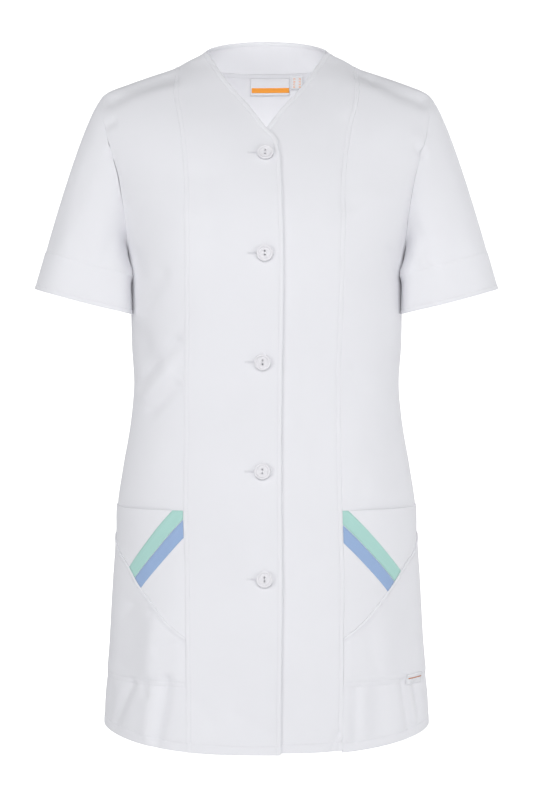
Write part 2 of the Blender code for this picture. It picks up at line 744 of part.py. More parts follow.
def button_mesh(material):
    """A button on its back, with its two holes one above the other along Y."""
    shape = bmesh.new()
    bottom, top = BUTTON_PROFILE[0][1], BUTTON_PROFILE[-1][1]
    profile = ((0.0, bottom), *BUTTON_PROFILE, (0.0, top))
    line = [shape.verts.new((radius, 0.0, height)) for radius, height in profile]
    edges = [shape.edges.new(pair) for pair in zip(line, line[1:])]
    bmesh.ops.spin(
        shape, geom=line + edges, cent=(0, 0, 0), axis=(0, 0, 1), angle=2 * math.pi, steps=BUTTON_COLUMNS
    )
    bmesh.ops.remove_doubles(shape, verts=shape.verts, dist=0.00001)
    blank = finish("button_blank", shape, material)
    cutter = hole_cutter()
    blank.modifiers.new("holes", "BOOLEAN").object = cutter
    bpy.context.view_layer.update()
    mesh = bpy.data.meshes.new_from_object(blank.evaluated_get(bpy.context.evaluated_depsgraph_get()))
    bpy.data.objects.remove(blank)
    bpy.data.objects.remove(cutter)
    return mesh


def hole_cutter():
    shape = bmesh.new()
    for offset in (-BUTTON_HOLE_OFFSET, BUTTON_HOLE_OFFSET):
        made = bmesh.ops.create_cone(
            shape, cap_ends=True, segments=8, depth=0.01,
            radius1=BUTTON_HOLE_RADIUS, radius2=BUTTON_HOLE_RADIUS,
        )
        bmesh.ops.translate(shape, verts=made["verts"], vec=(0, offset, 0))
    mesh = bpy.data.meshes.new("holes")
    shape.to_mesh(mesh)
    shape.free()
    cutter = place("holes", mesh)
    cutter.hide_render = True
    cutter.display_type = "WIRE"
    return cutter


def make_buttons(material):
    mesh = button_mesh(material)
    for number, z in enumerate(BUTTON_HEIGHTS, start=1):
        point, normal = cloth(centre_line(z), z, FRONT)
        button = place("button_" + str(number), mesh)
        button.rotation_euler = (math.pi / 2 - math.asin(normal[2]), 0, 0)
        button.location = point + normal * BUTTON_STAND


def build():
    clear_scene()
    for label, side in SIDES:
        make_front(label, side, look("front_" + label, WHITE))
        make_side_front(label, side, look("side_front_" + label, WHITE))
        make_sleeve(label, side, look("sleeve_" + label, WHITE))
        make_pocket(label, side, look("pocket_" + label, WHITE))
        make_tape(label, side, "green", look("stripe_green_" + label, GREEN))
        make_tape(label, side, "blue", look("stripe_blue_" + label, BLUE))
    make_back(look("back", WHITE))
    make_neckband(look("neckband", WHITE))
    make_buttons(look("button", SHELL, 0.35))
    under = -(WALL + 3 * GAP)
    patch("neck_label", NECK_LABEL, BACK, under, under - LABEL, 6, look("neck_label", WHITE))
    patch("size_tag", SIZE_TAG, BACK, under, under - LABEL, 2, look("size_tag", WHITE))
    over = 3 * GAP + 2 * LAYER
    patch("seam_tag", SEAM_TAG, FRONT, over + LABEL, over, 3, look("seam_tag", WHITE))


build()
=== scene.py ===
"""The looks of a short-sleeved work smock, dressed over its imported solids.

Metres, +Z up. The front faces -Y and the wearer's left is +X. Each cut and sewn piece is one fine
sheet over the same torso and sleeve forms as its solid, with creases, folded edges, stitched lines
and seam allowances in the mesh. Stitches, buttonholes and buttons are pieces of their own.
"""

import math

import bmesh
import bpy
import numpy as np
from mathutils import Matrix


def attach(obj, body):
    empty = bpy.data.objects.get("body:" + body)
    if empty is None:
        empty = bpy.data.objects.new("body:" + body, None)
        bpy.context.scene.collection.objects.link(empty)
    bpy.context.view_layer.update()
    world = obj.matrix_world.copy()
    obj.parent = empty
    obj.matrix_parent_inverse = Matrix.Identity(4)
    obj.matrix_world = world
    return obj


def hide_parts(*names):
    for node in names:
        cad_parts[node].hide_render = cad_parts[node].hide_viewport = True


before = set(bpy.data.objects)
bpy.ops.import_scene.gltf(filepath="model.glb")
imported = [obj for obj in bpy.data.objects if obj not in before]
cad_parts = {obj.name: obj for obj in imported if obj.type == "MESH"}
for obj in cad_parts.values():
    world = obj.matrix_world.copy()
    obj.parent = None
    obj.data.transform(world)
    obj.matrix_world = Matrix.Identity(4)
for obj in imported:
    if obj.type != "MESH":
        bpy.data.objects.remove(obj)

# Camera
EYE = (0.0, -2.3, -0.394)
LENS_MM = 90.0
SENSOR_MM = 36.0

# Studio
DAYLIGHT = (0.95, 0.97, 1.0)
WORLD_STRENGTH = 0.2
# Floor and backdrop, each as place, size, turn, colour and glow
STAGE = (
    ("floor", (0.0, 0.0, -2.05), (16.0, 16.0), (0.0, 0.0, 0.0), (0.82, 0.82, 0.83), 0.0),
    ("backdrop", (0.0, 4.6, -0.35), (3.2, 3.8), (math.pi / 2, 0.0, 0.0), (0.9, 0.9, 0.9), 1.0),
)
MIDDLE = (0.0, 0.0, -0.4)
LIGHTS = (
    # name, place, aim, size, watts
    ("lamp_high", (0.0, -3.6, 1.6), MIDDLE, (2.4, 1.2), 66.0),
    ("lamp_left", (-2.6, -2.2, -0.3), MIDDLE, (1.5, 2.0), 34.5),
    ("lamp_right", (2.6, -2.2, -0.3), MIDDLE, (1.5, 2.0), 26.5),
    ("lamp_side_left", (-3.0, 0.2, -0.3), MIDDLE, (1.5, 2.0), 2.5),
    ("lamp_side_right", (3.0, 0.2, -0.3), MIDDLE, (1.5, 2.0), 18.5),
    ("lamp_rear_left", (-2.2, 2.9, 0.9), MIDDLE, (1.5, 1.5), 21.0),
    ("lamp_rear_right", (2.2, 2.9, 0.9), MIDDLE, (1.5, 1.5), 21.0),
    ("lamp_neck", (0.0, -0.030, -0.105), (0.0, 0.09, -0.080), (0.09, 0.03), 0.074),
)

# Cloth
WALL = 0.0012
LAYER = 0.0010
LABEL = 0.0008
GAP = 0.0003

# The worn torso. Each section is |x / half_width| ** square + |y / depth| ** square = 1.
TORSO = (
    # height, half_width, front_depth, back_depth, front_square, back_square
    (0.0120, 0.0600, 0.008, 0.040, 2.00, 2.00),
    (0.0060, 0.0690, 0.012, 0.044, 2.00, 2.00),
    (-0.0035, 0.0886, 0.018, 0.050, 2.00, 2.00),
    (-0.0127, 0.1058, 0.026, 0.056, 2.00, 2.00),
    (-0.0218, 0.1323, 0.034, 0.062, 2.00, 2.00),
    (-0.0311, 0.1587, 0.042, 0.067, 2.00, 2.00),
    (-0.0403, 0.1817, 0.049, 0.072, 2.00, 2.00),
    (-0.0495, 0.1921, 0.056, 0.077, 2.00, 2.00),
    (-0.0587, 0.1978, 0.063, 0.081, 2.00, 2.00),
    (-0.0850, 0.2030, 0.080, 0.090, 2.10, 2.10),
    (-0.1150, 0.1985, 0.095, 0.098, 2.20, 2.20),
    (-0.1450, 0.1880, 0.108, 0.103, 2.30, 2.30),
    (-0.1800, 0.1740, 0.121, 0.105, 2.45, 2.40),
    (-0.2150, 0.1625, 0.128, 0.103, 2.50, 2.45),
    (-0.2500, 0.1565, 0.128, 0.099, 2.50, 2.45),
    (-0.2900, 0.1550, 0.124, 0.093, 2.50, 2.45),
    (-0.3300, 0.1543, 0.118, 0.087, 2.50, 2.45),
    (-0.3750, 0.1518, 0.112, 0.083, 2.50, 2.45),
    (-0.4200, 0.1556, 0.111, 0.087, 2.50, 2.45),
    (-0.4700, 0.1640, 0.114, 0.098, 2.50, 2.45),
    (-0.5150, 0.1705, 0.118, 0.110, 2.50, 2.40),
    (-0.5500, 0.1711, 0.120, 0.116, 2.45, 2.40),
    (-0.6000, 0.1742, 0.124, 0.122, 2.45, 2.35),
    (-0.6600, 0.1777, 0.129, 0.127, 2.45, 2.30),
    (-0.6900, 0.1798, 0.132, 0.129, 2.40, 2.30),
    (-0.7200, 0.1835, 0.134, 0.131, 2.40, 2.30),
    (-0.7800, 0.1862, 0.138, 0.134, 2.40, 2.30),
)
RIDGE_TOP = 0.0120
RIDGE_FOOT = -0.0587

# The centre front line, and how far from it the long front seams run
FRONT_LINES = (
    # height, centre_x, seam_offset
    (0.0100, 0.0000, 0.1050),
    (-0.0127, 0.0000, 0.1050),
    (-0.0500, 0.0000, 0.1040),
    (-0.0900, -0.0008, 0.0960),
    (-0.1200, -0.0014, 0.0917),
    (-0.2300, -0.0019, 0.0876),
    (-0.3000, -0.0032, 0.0865),
    (-0.3600, -0.0045, 0.0863),
    (-0.4300, -0.0048, 0.0863),
    (-0.5150, -0.0040, 0.0870),
    (-0.6000, -0.0020, 0.0868),
    (-0.6500, -0.0020, 0.0863),
    (-0.7900, -0.0020, 0.0848),
)

# The neck edge of a front, measured from the centre front line towards its own side
LAP = 0.0175
NECK_EDGE = (
    # height, offset
    (0.0060, 0.0690),
    (-0.0141, 0.0567),
    (-0.0254, 0.0502),
    (-0.0488, 0.0331),
    (-0.0685, 0.0164),
    (-0.0886, 0.0014),
    (-0.1040, -0.0118),
    (-0.1169, -0.0150),
    (-0.1310, -0.0169),
    (-0.1450, -LAP),
    (-0.8000, -LAP),
)
NECK_POINT = 0.0690
COLLAR_BASE = 0.0886
LAP_RAMP = (0.0190, 0.0480)
LAP_RAMP_TOP = (-0.0850, -0.0500)
UNDERLAP_SHORTER = 0.0020
UNDERLAP_FADES = 0.06

HEM = -0.7786
HEM_RISE = 0.0170
HEM_HALF_WIDTH = 0.1860

# Armhole, as an ellipse in height that bulges forward and back below its middle
ARMHOLE_TOP = -0.0460
ARMHOLE_FOOT = -0.2350
ARMHOLE = {
    # face: (width, skew)
    -1: (0.057, 0.35),
    1: (0.062, 0.30),
}

# Rings at the sleeve's end and the cuff's end, squarer towards the body
RING_SIZES = ("x", "z", "radius", "depth", "tilt", "lean", "reach", "fold")
SLEEVE_END = dict(zip(RING_SIZES, (0.2073, -0.2409, 0.0477, 0.067, 17.0, 0.0, 0.0030, 0.0130)))
CUFF_END = dict(zip(RING_SIZES, (0.2112, -0.2806, 0.0555, 0.062, 15.0, 0.003, 0.0020, 0.0100)))
SLEEVE_SQUARE = (2.6, 9.0)
SQUAREST_FROM = 0.7

# The cuff starts a little above the sleeve's end, and outside it
CUFF_START = -0.03
CUFF_STEP = 0.0006

# How the sleeve leaves the armhole, and the share of its length over which the torso's creases fade
SLEEVE_START_PULL = 0.36
UNDERARM_PULL = 0.95
SLEEVE_END_PULL = 0.45
SLEEVE_DROOP = (0.9, 0.3)
CREASES_END = 0.12

# Neckband, round the back of the neck
BAND_FOOT = {"side": -0.0035, "back_drop": 0.0073}
BAND_TOP = {"half_width": 0.0690, "depth": 0.0470, "side": 0.0060, "back_rise": 0.0204}

# Pockets, from the front seam to the side seam
POCKET_TOP = -0.5150
POCKET_FOOT = -0.7066
POCKET_TOP_RISE = 0.0030
POCKET_GAPE = 0.0022
GAPE_RISES = 0.4
GAPE_DEPTH = 0.05
POCKET_STAND = 0.0001
POCKET_PRESSED = 0.00015
PRESSED_OVER = 0.010
RIM_SLOPE = (0.0024, 0.0056)
RIM_FADES = 0.010
FRONT_LAYER_SHARE = 0.6
RIM_RISE = 0.0007
RIM_STITCH_LINE = 5
LAP_STAND = 0.0006
LAP_STANDS_OVER = 0.012
SLANT = (
    # share of the way to the side seam, height of the front layer's edge
    (0.000, -0.6535),
    (0.125, -0.6385),
    (0.250, -0.6195),
    (0.385, -0.5990),
    (0.520, -0.5780),
    (0.660, -0.5655),
    (0.820, -0.5525),
    (1.000, -0.5420),
)

# Tapes, which fall at 45 degrees from the front seam and meet along one line
TAPE_MIDDLE = {-1: -0.5248, 1: -0.5304}
GREEN_WIDTH = 0.0153
BLUE_WIDTH = 0.0143
TAPE_INSET = 0.0003
TAPE_THICKNESS = 0.0005
TAPE_LONGEST = 0.12

BUTTON_HEIGHTS = (-0.1215, -0.2343, -0.3525, -0.4722, -0.5895)
BUTTON_STAND = 0.0007
BUTTON = {
    "radius": 0.0090,
    "height": 0.0029,
    "rim": 0.0018,
    "dish": 0.0012,
    "dish_depth": 0.0010,
    "round": 0.0007,
}
BUTTON_HOLE = {"radius": 0.0011, "offset": 0.0021}
STRAND_OFFSET = 0.00028
BUTTONHOLE = {"length": 0.0200, "past_button": 0.0012, "half_height": 0.00078, "pitch": 0.00036}

# One stitch, thick in its middle and drawn in at its ends, on a length, width and height of 1
STITCH = (
    # along, radius, rise
    (-0.50, 0.22, -0.60),
    (-0.34, 0.43, -0.10),
    (0.00, 0.50, 0.10),
    (0.34, 0.43, -0.10),
    (0.50, 0.22, -0.60),
)
STITCH_SIDES = 4
STITCH_PITCH = 0.0029

# Stitches and threads, each as length, width and height
TOPSTITCH = (0.0024, 0.00050, 0.00040)
SATIN = (0.0014, 0.00042, 0.00028)
BAR_TACK = (0.0032, 0.00042, 0.00055)
TACK_STITCHES = 3
# The slit is painted shade: a pale bluish strip laid along each buttonhole's middle, where its slit lies in
# shadow
SLIT_SHADE = (0.0180, 0.00050, 0.00030)
BUTTON_THREAD = (0.0046, 0.00045, 0.00060)

# Woven cloths, each as colour and roughness
CLOTHS = {
    "white_twill": ((0.86, 0.86, 0.893), 0.85),
    "green_tape": ((0.45, 0.73, 0.67), 0.8),
    "blue_tape": ((0.34, 0.475, 0.73), 0.8),
}

# Plain finishes, each as colour, roughness, scale of the grain, and share by which the colour varies
FINISHES = {
    "white_thread": ((0.82, 0.82, 0.85), 0.6, 2400.0, 0.02),
    "button_shell": ((0.84, 0.83, 0.86), 0.28, 900.0, 0.04),
    # slit_shade is painted shade, a little darker and bluer than the cloth, for the shadow in the
    # buttonhole slits
    "slit_shade": ((0.80, 0.79, 0.85), 0.9, 2400.0, 0.05),
    "white_ribbon": ((0.84, 0.84, 0.87), 0.55, 3000.0, 0.02),
    "orange_weave": ((1.0, 0.36, 0.04), 0.6, 3000.0, 0.04),
    "rust_weave": ((0.55, 0.20, 0.08), 0.6, 3000.0, 0.06),
}

# Twill: its lines' turn in degrees, width in threads and share of the height
THREAD = 0.00045
TWILL = ((63.0, 1.5, 0.6), (0.0, 1.0, 0.3), (90.0, 1.0, 0.3))
BAND_SCALE = 0.314159
TWILL_DEPTH = 0.00008
SLUB_SCALE = 900.0
TONE_SCALE = 9.0
TONE_SHARE = 0.03
GRAIN_DEPTH = 0.00002

# Labels, each as x from, x to, foot, top
NECK_LABEL = (-0.0194, 0.0272, -0.0327, -0.0147)
SIZE_TAG = (0.0290, 0.0432, -0.0262, -0.0125)
SEAM_TAG = (0.1556, 0.1724, -0.7100, -0.6985)
NECK_LABEL_BAR = (-0.0177, 0.0269, -0.0299, -0.0245)
SEAM_TAG_BAR = (0.1572, 0.1718, -0.7040, -0.7028)
SIZE_NUMBERS = (("34", "36"), ("38", "40"), ("42", "44"), ("46", "48"))
NUMBER_HEIGHT = 0.0019
CAP_SHARE = 0.7
NUMBER_DEPTH = 0.00004
NUMBER_STAND = 0.0001
NUMBER_MARGINS = (0.1, 0.4)
NECK_LABEL_STAND = (0.0005, 0.0008)
SIZE_TAG_STAND = (0.0007, 0.0006)
SEAM_TAG_STAND = 0.0001
BAR_DEPTH = 0.0001
BAR_STAND = 0.00004
LABEL_ROUND = 0.0006
LABEL_STITCH = (0.0016, 0.0003, 0.0003)
LABEL_STITCH_PITCH = 0.0020
LABEL_STITCH_INSET = (0.0015, 0.0010, 0.0012)

# Soft troughs of the worn cloth, and ridges where the depth is negative, seen from the front
# (face -1) or the back (face 1)
CREASES = (
    # face, half_width, depth, places (x, z)
    # under the shoulder ridges
    (-1, 0.0110, 0.0050, ((-0.178, -0.0520), (-0.158, -0.0410), (-0.124, -0.0290), (-0.109, -0.0240))),
    (-1, 0.0110, 0.0054, (
        (0.109, -0.0195), (0.125, -0.0270),
        (0.147, -0.0395), (0.170, -0.0475), (0.178, -0.0510),
    )),
    (-1, 0.0040, 0.0010, ((0.120, -0.0250), (0.121, -0.0340))),
    (1, 0.0080, 0.0030, ((-0.185, -0.0530), (-0.140, -0.0350), (-0.115, -0.0260))),
    (1, 0.0080, 0.0032, ((0.115, -0.0270), (0.150, -0.0400), (0.185, -0.0550))),
    # beside the armholes
    (-1, 0.0050, 0.0018, ((-0.181, -0.0850), (-0.173, -0.0800))),
    (-1, 0.0050, 0.0022, ((0.171, -0.1120), (0.180, -0.1190))),
    (-1, 0.0080, -0.0014, ((0.172, -0.0980), (0.176, -0.1060))),
    (-1, 0.0140, -0.0018, ((-0.150, -0.1600), (-0.080, -0.2000))),
    (-1, 0.0140, -0.0016, ((0.145, -0.1550), (0.072, -0.2100))),
    (-1, 0.0080, 0.0022, ((0.138, -0.2308), (0.147, -0.2560))),
    (-1, 0.0080, 0.0020, ((-0.146, -0.2300), (-0.138, -0.2580))),
    (1, 0.0120, 0.0024, ((-0.100, -0.1300), (-0.150, -0.1900))),
    (1, 0.0120, 0.0024, ((0.105, -0.1400), (0.150, -0.2000))),
    (1, 0.0120, -0.0014, ((-0.080, -0.1450), (-0.135, -0.2150))),
    (1, 0.0120, -0.0014, ((0.085, -0.1500), (0.140, -0.2150))),
    # waist
    (-1, 0.0140, 0.0036, ((-0.141, -0.3250), (-0.133, -0.3520))),
    (-1, 0.0070, 0.0036, ((-0.144, -0.3760), (-0.124, -0.3500), (-0.100, -0.3300))),
    (-1, 0.0070, -0.0020, ((-0.136, -0.3900), (-0.110, -0.3600))),
    (-1, 0.0070, 0.0028, ((-0.128, -0.4050), (-0.101, -0.3800))),
    (-1, 0.0090, 0.0026, ((-0.136, -0.2900), (-0.115, -0.2560))),
    (-1, 0.0110, 0.0022, ((0.090, -0.0850), (0.088, -0.1750))),
    (-1, 0.0160, 0.0020, ((-0.070, -0.1500), (-0.060, -0.2150))),
    (-1, 0.0045, 0.0009, ((-0.100, -0.3620), (-0.092, -0.3520))),
    (-1, 0.0070, 0.0018, ((0.147, -0.3550), (0.149, -0.3920))),
    (-1, 0.0070, 0.0018, ((0.095, -0.3610), (0.106, -0.3780))),
    (-1, 0.0060, 0.0010, ((0.114, -0.4400), (0.123, -0.4490))),
    (-1, 0.0080, 0.0015, ((0.104, -0.4860), (0.105, -0.4960))),
    (1, 0.0120, 0.0030, ((-0.135, -0.3250), (-0.070, -0.3750))),
    (1, 0.0080, 0.0016, ((-0.115, -0.3800), (-0.060, -0.4100))),
    (1, 0.0120, 0.0028, ((0.130, -0.3350), (0.075, -0.3850))),
    (1, 0.0080, 0.0014, ((0.120, -0.2900), (0.070, -0.3250))),
    (1, 0.0100, 0.0016, ((-0.030, -0.3550), (0.035, -0.3600))),
    # over the pockets
    (-1, 0.0180, 0.0048, ((-0.150, -0.6250), (-0.158, -0.6900))),
    (-1, 0.0060, 0.0014, ((-0.160, -0.6360), (-0.152, -0.6220))),
    (-1, 0.0060, 0.0014, ((-0.117, -0.6670), (-0.095, -0.6610))),
    (-1, 0.0050, 0.0012, ((-0.128, -0.6290), (-0.117, -0.6330))),
    (-1, 0.0110, -0.0028, ((-0.124, -0.6400), (-0.127, -0.6900))),
    (-1, 0.0160, 0.0030, ((0.150, -0.6100), (0.156, -0.6800))),
    (-1, 0.0080, 0.0012, ((0.112, -0.6450), (0.118, -0.6850))),
    # hem
    (-1, 0.0060, 0.0036, ((-0.151, -0.7080), (-0.162, -0.7360), (-0.169, -0.7520))),
    (-1, 0.0050, 0.0020, ((-0.133, -0.7060), (-0.133, -0.7180))),
    (-1, 0.0062, 0.0044, ((-0.109, -0.7000), (-0.112, -0.7270), (-0.120, -0.7660))),
    (-1, 0.0080, -0.0022, ((-0.128, -0.7120), (-0.132, -0.7600))),
    (-1, 0.0050, 0.0024, ((-0.176, -0.7150), (-0.180, -0.7500))),
    (-1, 0.0100, 0.0016, ((-0.078, -0.7220), (-0.062, -0.7430))),
    (-1, 0.0110, 0.0016, ((-0.034, -0.7370), (-0.003, -0.7520))),
    (-1, 0.0035, 0.0016, ((0.070, -0.7750), (0.078, -0.7560))),
    (-1, 0.0030, 0.0010, ((0.076, -0.7770), (0.082, -0.7640))),
    (-1, 0.0060, 0.0024, ((0.0975, -0.7120), (0.0975, -0.7640))),
    (-1, 0.0060, -0.0012, ((0.107, -0.7120), (0.108, -0.7600))),
    (-1, 0.0100, 0.0026, ((0.123, -0.7120), (0.124, -0.7520))),
    (-1, 0.0050, 0.0036, ((0.152, -0.7060), (0.156, -0.7370), (0.159, -0.7560))),
    (-1, 0.0050, -0.0014, ((0.159, -0.7120), (0.165, -0.7500))),
    (-1, 0.0050, 0.0034, ((0.165, -0.7100), (0.172, -0.7500))),
    (1, 0.0150, 0.0044, ((-0.090, -0.6400), (-0.098, -0.7700))),
    (1, 0.0120, -0.0024, ((-0.060, -0.6700), (-0.064, -0.7700))),
    (1, 0.0150, 0.0038, ((0.035, -0.6600), (0.042, -0.7750))),
    (1, 0.0130, 0.0034, ((0.125, -0.6500), (0.130, -0.7700))),
    (1, 0.0080, 0.0030, ((-0.150, -0.6900), (-0.158, -0.7600))),
)

# How deep the torso dips beside its armhole seams, and how far that reaches
ARMHOLE_DIP = 0.0005
ARMHOLE_DIP_REACH = 0.0070
ARMHOLE_DIP_FROM = (0.12, 0.40)

# Soft troughs and ridges of the sleeves, by angle round the sleeve (0 out, 90 forward, 180 towards
# the body) and share of the way to the cuff
SLEEVE_CREASES = (
    # side, half_width, depth, places (angle, share)
    (-1, 0.0100, -0.0050, ((146, 0.30), (144, 0.80))),
    (-1, 0.0090, 0.0016, ((120, 0.40), (116, 0.70), (112, 0.98))),
    (-1, 0.0160, 0.0012, ((60, 0.45), (40, 0.90))),
    (1, 0.0100, -0.0050, ((146, 0.30), (144, 0.80))),
    (1, 0.0090, 0.0020, ((122, 0.20), (118, 0.60), (114, 0.98))),
    (1, 0.0060, 0.0012, ((124, 0.70), (110, 0.92))),
    (-1, 0.0100, 0.0028, ((215, 0.25), (232, 0.90))),
    (-1, 0.0100, 0.0018, ((285, 0.30), (270, 0.85))),
    (1, 0.0100, 0.0026, ((212, 0.20), (228, 0.85))),
    (1, 0.0100, 0.0020, ((275, 0.35), (288, 0.90))),
)

# Slow unevenness of hung cloth
WAVES = (
    # across per metre, up per metre, depth
    (41.0, 13.0, 0.00045),
    (-27.0, 31.0, 0.00040),
    (17.0, -47.0, 0.00035),
    (73.0, 21.0, 0.00020),
    (-61.0, 57.0, 0.00018),
    (112.0, -37.0, 0.00008),
)

# Distances from an edge at which a sheet has a line of points
SEAM_MARKS = (0.0, 0.0002, 0.0005, 0.0010, 0.0016, 0.0026)
STITCHED_MARKS = (
    0.0, 0.0002, 0.0005, 0.0010, 0.0017, 0.0027, 0.0037, 0.0043, 0.0049, 0.0055, 0.0063, 0.0076,
)
HEM_MARKS = (
    0.0, 0.0002, 0.0005, 0.0010, 0.0020, 0.0040, 0.0065, 0.0085, 0.0094, 0.0100, 0.0106, 0.0115, 0.0135,
)
PLAIN_MARKS = (0.0, 0.0015)
STITCH_AT = 0.0049
HEM_STITCH_AT = 0.0100
STITCH_LINE = STITCHED_MARKS.index(STITCH_AT)
HEM_LINE = HEM_MARKS.index(HEM_STITCH_AT)

# Folded edges, each as the distance over which the cloth turns down, and how far
FOLD = (0.0007, 0.0003)
SEAM_FOLD = (0.0007, 0.0001)
FIRM_FOLD = (0.0010, 0.0005)
HEM_FOLD = (0.0011, 0.0006)
POCKET_FOLD = (0.0010, 0.0004)
RIM_FOLD = (0.0013, 0.0007)
TAPE_FOLD = (0.0012, 0.0003)

# Stitched edges, and the cloth turned in at seams and hem
STITCH_GROOVE = (0.0003, 0.0007)
STITCHED_RISE = 0.0003
HEM_STITCHED_RISE = 0.0004
RISE_ENDS = (-0.0008, 0.0004)
SEAM_ALLOWANCE = 0.0110
HEM_ALLOWANCE = 0.0105
ALLOWANCE_RISE = 0.0007
ALLOWANCE_SLOPE = 0.0012

# Spacing of a sheet's points away from its edges
STEP = 0.0030
BACK_STEP = 0.0036
BAND_STEP = 0.0025

# Counts of the points and rows from which sheets are laid out
BAND_ROWS = 12
RING_COLUMNS = 150
SLEEVE_ROWS = 60
CUFF_ROWS = 16
TAPE_COLUMNS = 40
TAPE_ROWS = 9
DENSE = 200
HOLE_POINTS = 40

# Steps by which the end of a tape is found
HALVINGS = 30

RIGHT, LEFT = -1, 1
SIDES = (("_right", RIGHT), ("_left", LEFT))
FRONT, BACK = -1, 1


def smooth(table, at):
    """The columns after a table's first, on a smooth curve through its rows."""
    rows = np.array(sorted(table), float)
    where = rows[:, 0]
    slopes = np.gradient(rows[:, 1:], where, axis=0)
    at = np.clip(at, where[0], where[-1])
    low = np.clip(np.searchsorted(where, at, side="right") - 1, 0, len(where) - 2)
    step = (where[low + 1] - where[low])[..., None]
    t = (at - where[low])[..., None] / step
    value_part = (1 + 2 * t) * (1 - t) ** 2 * rows[low, 1:] + t * t * (3 - 2 * t) * rows[low + 1, 1:]
    slope_part = t * (1 - t) ** 2 * slopes[low] - t * t * (1 - t) * slopes[low + 1]
    return value_part + step * slope_part


def ease(value, start, end):
    """0 at start, 1 at end, level at both."""
    t = np.clip((value - start) / (end - start), 0, 1)
    return t * t * (3 - 2 * t)


def section(z, face):
    """Half width, depth and squareness of the torso at a height."""
    form = smooth(TORSO, z)
    column = 1 if face == FRONT else 2
    return form[..., 0], form[..., column], form[..., column + 2]


def half_width(z):
    return smooth(TORSO, z)[..., 0]


def on_form(places, face):
    """Points of the torso form at places (x, z)."""
    x, z = places[..., 0], places[..., 1]
    width, depth, square = section(z, face)
    inside = np.clip(1 - (np.abs(x) / width) ** square, 0, None)
    return np.stack((x, face * depth * inside ** (1 / square), z), axis=-1)


def level(point, face):
    """How far out a point lies, as 0 on the torso form."""
    width, depth, square = section(point[..., 2], face)
    return (np.abs(point[..., 0]) / width) ** square + (np.abs(point[..., 1]) / depth) ** square - 1


def form_normals(points, face):
    """Unit normals of the torso form, pointing out."""
    step = 0.0001
    gradient = np.zeros_like(points)
    for axis in range(3):
        move = np.zeros(3)
        move[axis] = step
        gradient[..., axis] = level(points + move, face) - level(points - move, face)
    return gradient / np.linalg.norm(gradient, axis=-1, keepdims=True)


def away_from(path, places):
    """Distance of places from a path of straight runs, and how far along it each lies."""
    path = np.array(path)
    runs = np.diff(path, axis=0)
    lengths = np.linalg.norm(runs, axis=1)
    starts = np.concatenate(((0.0,), np.cumsum(lengths)))
    nearest = np.full(places.shape[:-1], np.inf)
    along = np.zeros(places.shape[:-1])
    for start, run, length, before in zip(path, runs, lengths, starts):
        t = np.clip((places - start) @ run / length**2, 0, 1)
        away = np.linalg.norm(places - start - t[..., None] * run, axis=-1)
        closer = away < nearest
        nearest = np.where(closer, away, nearest)
        along = np.where(closer, (before + t * length) / starts[-1], along)
    return nearest, along


def crease_depth(points, face):
    """How far the cloth sinks at these points."""
    depth = np.zeros(points.shape[:-1])
    for crease_face, spread, deepest, path in CREASES:
        if crease_face == face:
            away, _ = away_from(path, points[..., (0, 2)])
            depth += deepest * np.exp(-((away / spread) ** 2))
    for across, up, deepest in WAVES:
        depth += deepest * np.sin(across * points[..., 0] * face + up * points[..., 2] + across)
    hole = armhole(np.linspace(0, math.pi, HOLE_POINTS), face)
    away, along = away_from(hole[:, (0, 2)], np.abs(points[..., (0, 2)]) * (1, -1))
    return depth + ARMHOLE_DIP * np.exp(-((away / ARMHOLE_DIP_REACH) ** 2)) * ease(along, *ARMHOLE_DIP_FROM)


def worn(points, face):
    """Points of the torso form sunk into its creases, and the form's normals there."""
    normals = form_normals(points, face)
    facing = np.clip(2 * face * normals[..., 1], 0, 1)
    return points - normals * (crease_depth(points, face) * facing)[..., None], normals


def ridge(x):
    """Height of the shoulder ridge at x."""
    heights = np.linspace(RIDGE_TOP, RIDGE_FOOT, DENSE)
    return np.interp(np.abs(x), half_width(heights), heights)


def hem_height(x):
    return HEM + HEM_RISE * (np.abs(x) / HEM_HALF_WIDTH) ** 3


def centre_line(z):
    return smooth(FRONT_LINES, z)[..., 0]


def front_seam(z, side):
    """x of a long front seam."""
    lines = smooth(FRONT_LINES, z)
    return lines[..., 0] + side * lines[..., 1]


def front_edge(z, side):
    """x of a front's inner edge: its lap edge, and its neck edge above that."""
    return centre_line(z) + side * smooth(NECK_EDGE, z)[..., 0]


def armhole(theta, face):
    """Points of an armhole on the left, from the top (0) to the underarm (pi)."""
    half = (ARMHOLE_TOP - ARMHOLE_FOOT) / 2
    z = (ARMHOLE_TOP + ARMHOLE_FOOT) / 2 + half * np.cos(theta)
    bulge, skew = ARMHOLE[face]
    y = bulge * np.sin(theta) * (1 - skew * np.cos(theta))
    width, depth, square = section(z, face)
    x = width * np.clip(1 - (y / depth) ** square, 0, 1) ** (1 / square)
    return np.stack((x, face * y, z), axis=-1)


def lengths_along(points):
    """Distance of each point from the first, along its line. Lines run along the last but one axis."""
    steps = np.linalg.norm(np.diff(points, axis=-2), axis=-1)
    return np.concatenate((np.zeros_like(steps[..., :1]), np.cumsum(steps, axis=-1)), axis=-1)


def evenly(line, surface_at, count):
    """A line of places spaced again evenly over a surface."""
    length = lengths_along(surface_at(line))
    at = np.linspace(0, length[-1], count)
    return np.stack([np.interp(at, length, column) for column in line.T], axis=1)


def slants(points, end):
    """Sine of the angle at which each line meets the edge at its start (0) or end (-1)."""
    inward = points[:, 3 if end == 0 else -4] - points[:, end]
    edge = np.gradient(points[:, end], axis=0)
    area = np.linalg.norm(np.cross(inward, edge), axis=-1)
    size = np.linalg.norm(inward, axis=-1) * np.linalg.norm(edge, axis=-1)
    return np.clip(area / np.maximum(size, 1e-12), 0.4, 1.0)


